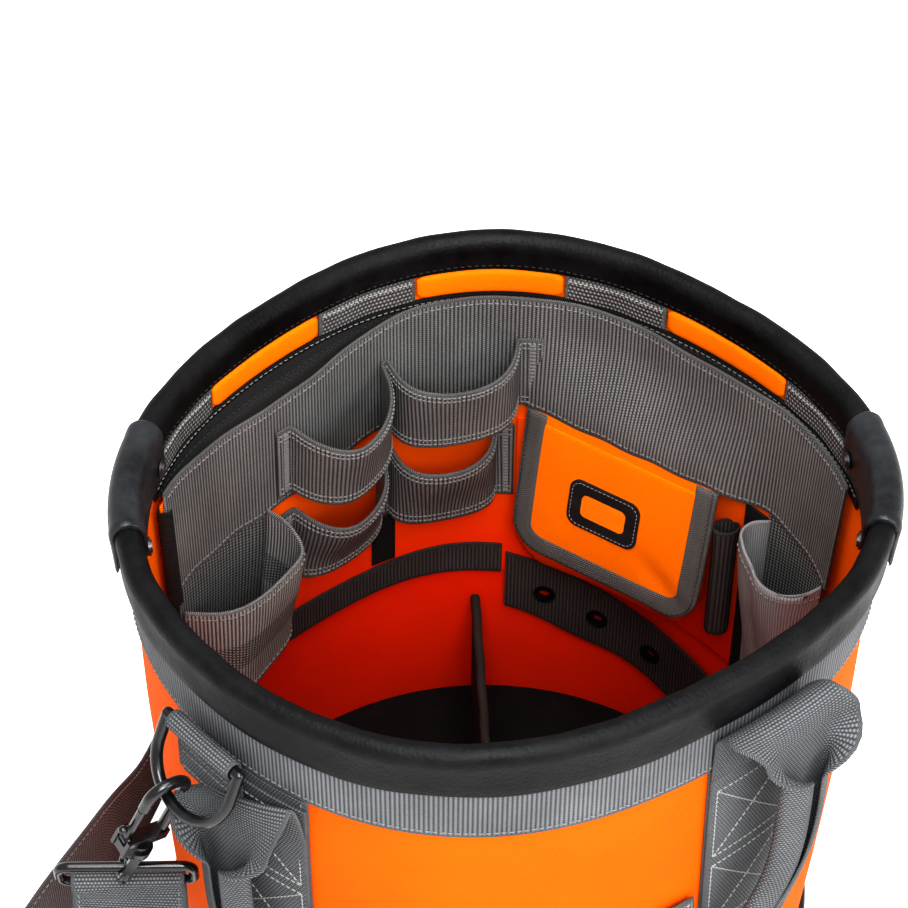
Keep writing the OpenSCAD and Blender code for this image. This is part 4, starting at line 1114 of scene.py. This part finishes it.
def flap_edge(normal):
    """Binding: a flattened fold swept down one side, round both corners and up the other."""
    inset = BIND_W / 2
    half, bottom, r = FLAP_W / 2 - inset, -FLAP_L + inset, 17.0 - inset
    turns = np.linspace(0, 90, 12)
    side = np.linspace(4.5, bottom + r, 20)
    left = [(-half, v) for v in side]
    left += [(-half + r - r * c, bottom + r - r * s) for s, c in zip(sind(turns), cosd(turns))][1:]
    mid = [(v, bottom) for v in np.linspace(-half + r, half - r, 26)][1:]
    right = [(half - r + r * s, bottom + r - r * c) for s, c in zip(sind(turns), cosd(turns))][1:]
    right += [(half, v) for v in side[::-1]][1:]
    path = np.array(left + mid + right)
    tangent = unit(np.gradient(path, axis=0))
    out = np.stack([-tangent[:, 1], tangent[:, 0]], 1)
    across = np.array([-5.5, -5.45, -5.1, -4.2, -2, 0, 2, 3.8, 5.0, 5.7, 5.9])
    fat = np.array([0.25, 0.75, 1.3, 1.6, 1.65, 1.7, 1.75, 1.7, 1.3, 0.7, 0.2])
    ring_x = np.concatenate([across, across[::-1][1:-1]])
    ring_y = np.concatenate([-fat, fat[::-1][1:-1]]) - 1.1
    rings = np.zeros((len(path), len(ring_x), 3))
    rings[..., 0] = path[:, None, 0] + out[:, None, 0] * ring_x[None, :]
    rings[..., 2] = path[:, None, 1] + out[:, None, 1] * ring_x[None, :]
    rings[..., 1] = ring_y[None, :]
    soft_rings = flap_frame(flap_soft(rings))
    piece("flap_binding_tape", [loft(soft_rings)], BINDING, ["flap_binding"], "pouch_flap")
    line = np.zeros((len(path), 3))
    line[:, 0] = path[:, 0] - out[:, 0] * 3.6
    line[:, 2] = path[:, 1] - out[:, 1] * 3.6
    line[:, 1] = -2.9
    place = flap_frame(flap_soft(line))
    stitch_row(place, np.repeat(normal, len(place), 0), colour="dark", pitch=2.8, body="pouch_flap")


def neck():
    """Cloth that runs from behind the band's curved lower edge down to the straight flap."""
    n, m = 60, 16
    s = np.linspace(0, 1, n)
    local = np.zeros((n, 3))
    local[:, 0] = (s - 0.5) * (FLAP_W - 4)
    local[:, 1] = -1.1
    local[:, 2] = -7.0
    end = flap_frame(flap_soft(local))
    local[:, 2] = -1.0
    knee = flap_frame(flap_soft(local))
    a = np.degrees(np.arctan2(knee[:, 1], knee[:, 0]))
    top = at(a, np.full(n, 216.0), band_lean(a, np.full(n, 216.0)) - 0.9)
    t = np.linspace(0, 1, m)[None, :, None]
    grid = (1 - t) ** 2 * top[:, None] + 2 * t * (1 - t) * knee[:, None] + t ** 2 * end[:, None]
    obj = mesh_object("flap_neck_cloth", [skin(grid, 1.6)], ORANGE_PANEL)
    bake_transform(obj)


def patch_stitches(normal):
    """Thread round the edge of the rubber badge, whose own two pieces come from the frame."""
    lo, hi = np.array([-17.5, -12.0]), np.array([17.5, 12.0])
    r = 5.0
    pts = []
    for cx, cy, b in ((hi[0] - r, hi[1] - r, 0), (lo[0] + r, hi[1] - r, 90),
                      (lo[0] + r, lo[1] + r, 180), (hi[0] - r, lo[1] + r, 270)):
        for t in np.linspace(b, b + 90, 8):
            pts.append((cx + r * cosd(t), cy + r * sind(t)))
    pts.append(pts[0])
    pts = np.array(pts)
    line = np.zeros((len(pts), 3))
    line[:, 0], line[:, 2], line[:, 1] = pts[:, 0] - 3, pts[:, 1] - 34, -FLAP_T - 2.4
    stitch_row(flap_frame(line), np.repeat(normal, len(pts), 0), colour="grey", pitch=2.2, length=1.7,
               radius=0.25, body="pouch_flap")


def pen_sleeve():
    """A web rolled into a tube, one edge overlapping the other."""
    lo, hi = box_mm("pen_sleeve")
    c = (lo + hi) / 2
    turn = np.linspace(-20, 375, 60)
    z = spread(lo[2], hi[2], 24, 0.8)
    r = 4.7 + 0.9 * np.linspace(0, 1, len(turn))
    flare = 1 + 0.12 * smooth((z - hi[2] + 14) / 14)
    x = c[0] + r[:, None] * flare[None, :] * cosd(turn + 215)[:, None]
    y = c[1] + r[:, None] * flare[None, :] * sind(turn + 215)[:, None]
    tilt = 1.2 * np.sin(np.radians(turn))[:, None] * smooth((z - hi[2] + 10) / 10)[None, :]
    grid = np.stack([x, y, z[None, :] + tilt], -1)
    piece("pen_sleeve_web", [skin(grid, 1.1)], WEB_DARK, ["pen_sleeve"])


EYELET_A = (77.3, 65.8, 53.3)
EYELET_R = 3.6


def eyelet_strip():
    def height(a):
        return 84 - (EYELET_A[0] - a) * 0.75
    grid = strip(38.5, 85.6, lambda a: height(a) - 20 + 1.6 * sind(14 * a), lambda a: height(a) + 20,
                 11.15, 0.8, 2)
    obj = mesh_object("eyelet_strip_web", [skin(grid, 1.5)], WEB_DARK)
    for a in EYELET_A:
        punch(obj, at(a, height(a), 11.0), a, EYELET_R)
    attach(obj, "root")
    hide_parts("eyelet_strip")


def punch(obj, centre, angle, radius):
    """Cuts a round hole through a sheet, along the wall's radius."""
    n = 32
    turns = np.linspace(0, 360, n, endpoint=False)
    axis = np.array([cosd(angle), sind(angle), 0])
    side = np.array([-sind(angle), cosd(angle), 0])
    circle = radius * (cosd(turns)[:, None] * side + sind(turns)[:, None] * np.array([0, 0, 1.0]))
    rings = np.stack([centre + circle - 6 * axis, centre + circle + 6 * axis])
    tool = mesh_object("punch_tool", [loft(rings)], WEB_DARK)
    weld(tool)
    mod = obj.modifiers.new("punch", "BOOLEAN")
    mod.object = tool
    mod.operation = "DIFFERENCE"
    mod.solver = "EXACT"
    bake_modifiers(obj)
    bpy.data.objects.remove(tool)


def bake_modifiers(obj):
    graph = bpy.context.evaluated_depsgraph_get()
    mesh = bpy.data.meshes.new_from_object(obj.evaluated_get(graph))
    obj.modifiers.clear()
    obj.data = mesh


def divider_trim():
    """Binding folded over the divider's top edge."""
    lo, hi = box_mm("divider_trim")
    c = (lo + hi) / 2
    turn = math.radians(1.5)
    length = (hi[1] - lo[1]) / math.cos(turn) - 0.6
    top = hi[2]
    half = 1.8
    prof = [(-half, -9), (-half, -6), (-half, -3)]
    prof += [(-half * cosd(b), -2 + 1.4 * sind(b)) for b in np.linspace(0, 180, 9)]
    prof += [(half, -3), (half, -6), (half, -9)]
    prof = np.array(prof)
    y = spread(-length / 2, length / 2, 60, 0.8)
    wave = 0.2 * np.sin(y * 0.21)
    grid = np.zeros((len(y), len(prof), 3))
    x = prof[None, :, 0] + wave[:, None]
    grid[..., 0] = c[0] + x * math.cos(turn) - y[:, None] * math.sin(turn)
    grid[..., 1] = c[1] + x * math.sin(turn) + y[:, None] * math.cos(turn)
    grid[..., 2] = top + prof[None, :, 1]
    piece("divider_binding", [skin(grid, 0.9)], TRIM, ["divider_trim"])


# ---------------------------------------------------------------- outside straps and pockets
FRONT_A = (313.5, 229.5)
BACK_A = (49.5, 133.5)
STRAP_HALF = math.degrees(math.asin(STRAP_W / 2 / RIM_R))


def x_box(grid, lift, lo, hi, colour="light"):
    """Box stitching with crossed diagonals, corners as shares of the grid."""
    corners = [(lo[0], lo[1]), (hi[0], lo[1]), (hi[0], hi[1]), (lo[0], hi[1])]
    for k in range(4):
        seam_line(grid, lift, corners[k], corners[(k + 1) % 4], colour=colour, pitch=2.6, length=2.1)
    seam_line(grid, lift, corners[0], corners[2], colour=colour, pitch=2.6, length=2.1)
    seam_line(grid, lift, corners[1], corners[3], colour=colour, pitch=2.6, length=2.1)


def straps():
    body, sewn = [], []
    for a in FRONT_A + BACK_A:
        grid = strip(a - STRAP_HALF, a + STRAP_HALF, BOOT_H + 1, 256.7, 3.25, 0.9, 4, outside)
        web = grid.transpose(1, 0, 2)[:, ::-1]
        body.append(skin(web, 1.3))
        for share in (0.06, 0.94):
            seam(web, 0.8, across=share, colour="grey", inset=2)
        grid = strip(a - STRAP_HALF, a + STRAP_HALF, 150, 252, 1.6, 0.9, 3, outside)
        web = grid.transpose(1, 0, 2)[:, ::-1]
        sewn.append(skin(web, WEB_T))
        x_box(web, 0.85, (0.06, 0.07), (0.46, 0.93))
        x_box(web, 0.85, (0.52, 0.07), (0.93, 0.93))
    piece("body_strap_webs", body, WEB_STRAP, ["body_straps"])
    piece("handle_anchor_webs", sewn, WEB_STRAP, ["handle_anchors"])


def front_pocket():
    def depth(a, z):
        return 1.7 - 4 * bell((a - 271.5) / 31) * smooth((z - 40) / 60)
    grid = strip(240.5, 302.5, 42, 162, depth, 1.0, 4, outside)
    piece("front_pocket_cloth", [skin(grid, 1.4)], ORANGE, ["front_pocket"])
    trim = strip(240.5, 302.5, 160.3, 182, lambda a, z: depth(a, z) - 0.1, 0.9, 3, outside)
    piece("front_pocket_web", [skin(trim, 1.9)], WEB, ["front_pocket_trim"])
    for share in (0.12, 0.88):
        seam(trim, 1.1, across=share, colour="light", inset=2)


# ---------------------------------------------------------------- carry handles
HANDLE_DROP = 130.0
HANDLE_SQUARE = 2 / 3
HANDLE_TOP = 252.0
FOLD_Z = 274.0
SEWN_ROWS, FOLD_ROWS, LEG_ROWS, DROP_ROWS = 7, 18, 8, 45
UPRIGHT_ROWS = SEWN_ROWS + FOLD_ROWS + LEG_ROWS
RIDE_ROW = 46


def handle_half(span, fold_r, flare, fold_z):
    """Rows from an anchor to the handle's middle: span, height, distance out, curl and flare."""
    start, leg = -1.6, 22.0
    top = fold_z - leg
    rows = [(span, top + leg * f, start + 0.8 * smooth(f), 0, 0)
            for f in np.arange(SEWN_ROWS) / (SEWN_ROWS - 1)]
    for b in np.linspace(0, 180, FOLD_ROWS + 1)[1:]:
        rows.append((span, fold_z + fold_r * sind(b), start + 0.8 + fold_r - fold_r * cosd(b),
                     24 * smooth((b - 80) / 100), flare * sind(b) ** 2))
    out = rows[-1][2]
    rows += [(span, fold_z - leg * f, out, 24 + 128 * smooth(f), 0)
             for f in np.arange(1, LEG_ROWS + 1) / LEG_ROWS]
    drop = top - (HANDLE_TOP - HANDLE_DROP)
    for t in np.linspace(0, 90, DROP_ROWS + 1)[1:]:
        rows.append((span * cosd(t) ** HANDLE_SQUARE, top - drop * sind(t) ** HANDLE_SQUARE,
                     out + (14.5 - 3 * sind(t) - out) * smooth(t / 30), 152 + 20 * smooth(t / 40), 0))
    return np.array(rows, float).T


def curl_section(width, curl, x):
    """Cross-section of the web, both edges turned outwards by curl degrees: (across, out)."""
    fine = np.linspace(-width / 2, width / 2, 401)
    bend = np.radians(curl) * smooth((np.abs(fine) - width / 4 + 4) / 8)
    dx = fine[1] - fine[0]
    across = np.cumsum(np.cos(bend)) * dx
    across -= np.interp(0, fine, across)
    rise = np.cumsum(np.sin(bend) * np.sign(fine)) * dx
    rise -= np.interp(0, fine, rise)
    return np.interp(x, fine, across), np.interp(x, fine, rise)


def handle(name, angles, body, folds):
    """Web from one anchor to the other; each fold has its radius, flare, height and raised edge."""
    lo, hi = min(angles), max(angles)
    mid, span = (lo + hi) / 2, math.radians((hi - lo) / 2) * RIM_R
    x = spread(-STRAP_W / 2, STRAP_W / 2, 26, 0.8)
    halves, legs = [], []
    for sign, (fold_r, flare, fold_z, edge) in zip((1, -1), folds):
        q, z, o, curl, lift = handle_half(span, fold_r, flare, fold_z)
        legs.append(o[SEWN_ROWS + FOLD_ROWS])
        path = np.stack([q, z, o], 1)
        tan = unit(np.gradient(path, axis=0))
        across = np.stack([-tan[:, 1], tan[:, 0], np.zeros(len(q))], 1)
        across[:UPRIGHT_ROWS] = (1, 0, 0)
        across = unit(across)
        out = unit(np.cross(tan, across))
        share = 0.5 + 0.5 * edge * x / (STRAP_W / 2)
        rows = []
        for k in range(len(q)):
            sx, sn = curl_section(STRAP_W, curl[k], x)
            p = path[k] + sx[:, None] * across[k] + sn[:, None] * out[k]
            p[:, 0] += 7.0 * smooth((k - 16) / 8) * smooth((56 - k) / 18)
            p[:, 1] += lift[k] * share * 0.9
            p[:, 2] += lift[k] * share * (0.6 if edge > 0 else 0.12)
            rows.append(p)
        rows = np.array(rows)
        if sign < 0:
            rows[..., 0] *= -1
            rows = rows[::-1]
        halves.append(rows)
    first, second = halves
    whole = np.concatenate([first, second[1:]])
    a = mid + whole[..., 0] / RIM_R * 180 / math.pi
    swell = puff(a, np.minimum(whole[..., 1], 250)) * smooth((262 - whole[..., 1]) / 12)
    world = at(a, whole[..., 1], -whole[..., 2] - swell * smooth(1 - whole[..., 2] / 8))
    n = len(world)
    first_row = {"a": 0, "grip": RIDE_ROW, "b": n - RIDE_ROW - 1}
    grids = {"a": world[:RIDE_ROW + 1], "grip": world[RIDE_ROW:n - RIDE_ROW], "b": world[n - RIDE_ROW - 1:]}
    offset = arc(world[:, world.shape[1] // 2])
    for part, grid in grids.items():
        shell = skin(grid, WEB_T, round_u=False)
        shell[2][..., 0] += offset[first_row[part]]
        obj = mesh_object(f"{name}_{part}_web", [shell], WEB_STRAP)
        if part == "grip":
            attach(obj, body)
            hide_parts(body)
            continue
        centre, leg = (hi, legs[0]) if part == "a" else (lo, legs[1])
        foot = at(centre, FOLD_Z, 0.0)
        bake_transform(obj)
    grip = grids["grip"]
    for share in (0.27, 0.73):
        seam(grip, 0.85, across=share, colour="grey", inset=1, body=body)


def handles():
    handle("front_handle", FRONT_A, "front_handle", ((8.2, 7.0, 274.0, 1), (5.4, 30.0, 231.0, -1)))
    handle("back_handle", BACK_A, "back_handle", ((7.6, 5.0, 274.0, 1), (4.4, 12.0, 233.0, -1)))


# ---------------------------------------------------------------- D-ring webs and shoulder strap
def ring_webs():
    """Web folded over each D-ring's bar, both layers sewn down below it."""
    parts = []
    r = 3.5
    for joint in ("front_d_ring_swing", "back_d_ring_swing"):
        bar = joint_mm(joint)
        angle = math.degrees(math.atan2(bar[1], bar[0]))
        away = np.array([cosd(angle), sind(angle), 0.0])
        side = np.array([-sind(angle), cosd(angle), 0.0])
        path = [(-r, z) for z in np.linspace(-36, 0, 20)]
        path += [(-r * cosd(b), r * sind(b)) for b in np.linspace(0, 190, 16)][1:]
        end_x, end_z = path[-1]
        for f in np.linspace(0, 1, 14)[1:]:
            path.append((end_x + (-1.9 - end_x) * smooth(f), end_z + (-11 - end_z) * f))
        path += [(-1.9, z) for z in np.linspace(-13, -31, 12)]
        path = np.array(path)
        y = spread(-RING_WEB_W / 2, RING_WEB_W / 2, 16, 0.7)
        bow = 0.5 * np.cos(y / RING_WEB_W * 3.1)
        x = path[:, 0][:, None] + np.clip(path[:, 0] + r, 0, 1)[:, None] * bow[None, :] * 0.6
        grid = (bar + x[..., None] * away + y[None, :, None] * side
                + path[:, 1][:, None, None] * np.array([0, 0, 1.0]))
        parts.append(skin(grid, WEB_T - 0.1))
        front = grid[34:]
        for share in (0.45, 0.6, 0.9):
            seam(front, 0.9, along=share, colour="grey", pitch=2.6, inset=3)
    piece("ring_loop_webs", parts, WEB_STRAP, ["d_ring_loops"])


def spline(points, per):
    """Catmull-Rom through rows of numbers."""
    out = []
    n = len(points) - 1
    for i in range(n):
        p0, p1 = points[max(0, i - 1)], points[i]
        p2, p3 = points[i + 1], points[min(n, i + 2)]
        for f in np.linspace(0, 1, per, endpoint=False):
            out.append((2 * p1 + (p2 - p0) * f + (2 * p0 - 5 * p1 + 4 * p2 - p3) * f * f
                        + (3 * p1 - p0 - 3 * p2 + p3) * f ** 3) / 2)
    out.append(points[-1])
    return np.array(out)


def shoulder_strap():
    low_f, low_b = joint_mm("front_strap_ring_tilt"), joint_mm("back_strap_ring_tilt")
    wire_r, clear, half_web = 2.2, 0.25, 0.75
    wrap_r = wire_r + clear + half_web

    def wrap(c, s):
        pts = [c + [0, s * (wrap_r + 0.2), -26], c + [0, s * wrap_r, -10]]
        pts += [c + wrap_r * np.array([0, s * cosd(b), sind(b)]) for b in range(0, 181, 20)]
        return pts + [c + [0, -s * (wrap_r + 0.4), -10]]

    run_x, run_y, run_z, slack = 70, 182, 60, 94
    free = [(low_f + [-3, -wrap_r - 6, -30], (1, -0.15, 0.2)),
            (low_f + [-16, -30, -56], (0.75, -0.35, 0.6)),
            ((-200, -168, slack), (0.1, -0.3, 1)), ((-226, -128, slack), (0, 0, 1)),
            ((-207, -78, slack), (0, 0, 1)), ((-182, -28, slack - 4), (0, 0, 1)),
            ((-166, 25, run_z + 2), (0, 0, 1)), ((-142, 98, run_z - 4), (0, 0, 1)),
            ((-105, 155, run_z - 1), (0, 0, 1)), ((-run_x - 12, run_y - 3, run_z), (0, 0, 1)),
            ((-run_x, run_y, run_z), (0, 0, 1)), ((-run_x / 2, run_y, run_z), (0, 0, 1)),
            ((0, run_y, run_z), (0, 0, 1)), ((run_x / 2, run_y, run_z), (0, 0, 1)),
            ((run_x, run_y, run_z), (0, 0, 1)), ((run_x + 33, run_y - 2, run_z + 7), (0, 0, 1)),
            ((run_x + 60, run_y - 9, run_z + 30), (-0.4, 0, 0.9)),
            (low_b + [4, wrap_r + 22, -62], (0.85, 0, 0.5)), (low_b + [0, wrap_r + 7, -30], (1, 0, 0.15))]
    rows = [np.concatenate([p, (1.0, 0, 0)]) for p in wrap(low_f, 1)]
    rows += [np.concatenate([np.array(p, float), unit(np.array(d, float))]) for p, d in free]
    rows += [np.concatenate([p, (1.0, 0, 0)]) for p in wrap(low_b, -1)[::-1]]
    path = spline(np.array(rows), 7)
    along = unit(np.gradient(path[:, :3], axis=0))
    side = unit(path[:, 3:] - along * np.sum(path[:, 3:] * along, 1, keepdims=True))
    y = spread(-(STRAP_W - 2) / 2, (STRAP_W - 2) / 2, 14, 0.7)
    normal = unit(np.cross(along, side))
    s = arc(path[:, :3])
    cup = 1.4 * smooth((s - 60) / 40) * smooth((s[-1] - 60 - s) / 40)
    grid = path[:, None, :3] + y[None, :, None] * side[:, None]
    grid = grid + (normal * cup[:, None])[:, None] * (np.cos(y / STRAP_W * 3.0) - 0.6)[None, :, None]
    piece("shoulder_strap_web", [skin(grid, 1.5)], WEB_STRAP, ["shoulder_strap"])
    for share in (0.06, 0.94):
        for lift in (-0.95, 0.95):
            seam(grid, lift, across=share, colour="grey", inset=40, pitch=3.4)
    total = s[-1]
    for end in (1, -1):
        for mm in (52.0, 56.0, 60.0):
            at_share = mm / total if end > 0 else 1 - mm / total
            seam(grid, -0.95, along=at_share, colour="light", pitch=2.4, inset=2)
            seam(grid, 0.95, along=at_share, colour="light", pitch=2.4, inset=2)


# ---------------------------------------------------------------- carried-over CAD nodes
def hardware():
    finish = {METAL: ("eyelets", "front_d_ring", "back_d_ring", "front_hook", "back_hook", "front_gate",
                      "back_gate", "front_swivel", "back_swivel", "front_strap_ring", "back_strap_ring"),
              PIN: ("front_gate_pin", "back_gate_pin"), RIVET: ("sleeve_rivets",),
              HOOP: ("rim_hoop", "strap_slider"), PLATE: ("base_plate", "divider"), PATCH: ("flap_patch",),
              INLAY: ("patch_inlay",), WEB_BLACK: ("pouch_tape", "flap_tape")}
    for material, names in finish.items():
        for name in names:
            node = frame["nodes"][name]
            for slot in node.material_slots:
                slot.link = "OBJECT"
                slot.material = material


def sew():
    """One piece of thread for each body and colour."""
    looks = {"light": THREAD_LIGHT, "grey": THREAD_GREY, "dark": THREAD_DARK}
    for (body, colour), parts in threads.items():
        piece(f"stitches_{colour}_{body}", parts, looks[colour], (), body)


# ---------------------------------------------------------------- studio
def camera_only(n, seen, lit):
    """A value that is one thing to the camera and another to the light."""
    path = n.node("ShaderNodeLightPath")
    return n.math("ADD", lit, n.math("MULTIPLY", path.outputs["Is Camera Ray"], seen - lit))


def studio():
    scene = bpy.context.scene
    scene.view_settings.view_transform = "Standard"
    scene.view_settings.look = "High Contrast"
    world = bpy.data.worlds.new("studio")
    scene.world = world
    sky = Net("studio", world)
    back = sky.tree.nodes["Background"]
    back.inputs[0].default_value = (1, 1, 1, 1)
    sky.put(back.inputs[1], camera_only(sky, 1.3, 0.62))
    size = 6.0
    mesh = bpy.data.meshes.new("floor")
    n = 24
    xs = np.linspace(-size, size, n)
    verts = [(x, y, 0.0) for x in xs for y in xs]
    faces = [(i * n + j, (i + 1) * n + j, (i + 1) * n + j + 1, i * n + j + 1)
             for i in range(n - 1) for j in range(n - 1)]
    mesh.from_pydata(verts, [], faces)
    paint = Net("floor_paint")
    paint.bump(paint.noise(60, 3), 0.1)
    paint.shader.inputs["Emission Color"].default_value = (1, 1, 1, 1)
    paint.put(paint.shader.inputs["Emission Strength"], camera_only(paint, 0.45, 0.0))
    mesh.materials.append(paint.finish((0.92, 0.92, 0.92), 0.7))
    floor = bpy.data.objects.new("floor", mesh)
    scene.collection.objects.link(floor)
    for name, where, aim, power, wide in (
            ("key", (0.1, -1.45, 1.8), (0, 0, 0.2), 30, 0.9),
            ("fill", (1.3, -1.1, 0.9), (0, 0, 0.15), 12, 1.0),
            ("top", (0.0, -0.35, 2.2), (0, 0.05, 0.2), 25, 1.4)):
        data = bpy.data.lights.new(name, "AREA")
        data.energy = power
        data.size = wide
        lamp = bpy.data.objects.new(name, data)
        lamp.location = where
        lamp.rotation_euler = (Vector(aim) - Vector(where)).to_track_quat("-Z", "Y").to_euler()
        scene.collection.objects.link(lamp)


def camera():
    """The camera stands in front of the bucket and looks down into its mouth."""
    turn = math.radians(-3)
    spin = np.array([[math.cos(turn), -math.sin(turn), 0], [math.sin(turn), math.cos(turn), 0], [0, 0, 1]])
    place = np.array([0, -861.7, 870.8])
    yaw, pitch, roll = -0.016, 0.005, 0.028
    forward = -place / np.linalg.norm(place)
    right = np.array([1.0, 0, 0])
    up = np.cross(right, forward)
    aim = (forward * math.cos(yaw) * math.cos(pitch) + right * math.sin(yaw) * math.cos(pitch)
           + up * math.sin(pitch))
    right = unit(np.cross(aim, up))
    up = np.cross(right, aim)
    rolled_right = right * math.cos(roll) + up * math.sin(roll)
    rolled_up = -right * math.sin(roll) + up * math.cos(roll)
    axes = (spin @ rolled_right, spin @ rolled_up, -(spin @ unit(aim)))
    where = (spin @ place + [0, 0, BUCKET_H]) * MM
    data = bpy.data.cameras.new("camera")
    data.sensor_width = 36
    data.lens = 117.3
    cam = bpy.data.objects.new("camera", data)
    cam.matrix_world = Matrix([*zip(*axes, where), (0, 0, 0, 1)])
    bpy.context.scene.collection.objects.link(cam)
    bpy.context.scene.camera = cam


bucket()
boot()
rim()
sleeves()
facing()
organizer()
tool_loops()
left_pocket()
right_pocket()
pouch()
flap()
pen_sleeve()
eyelet_strip()
divider_trim()
straps()
front_pocket()
handles()
ring_webs()
shoulder_strap()
hardware()
sew()
studio()
camera()
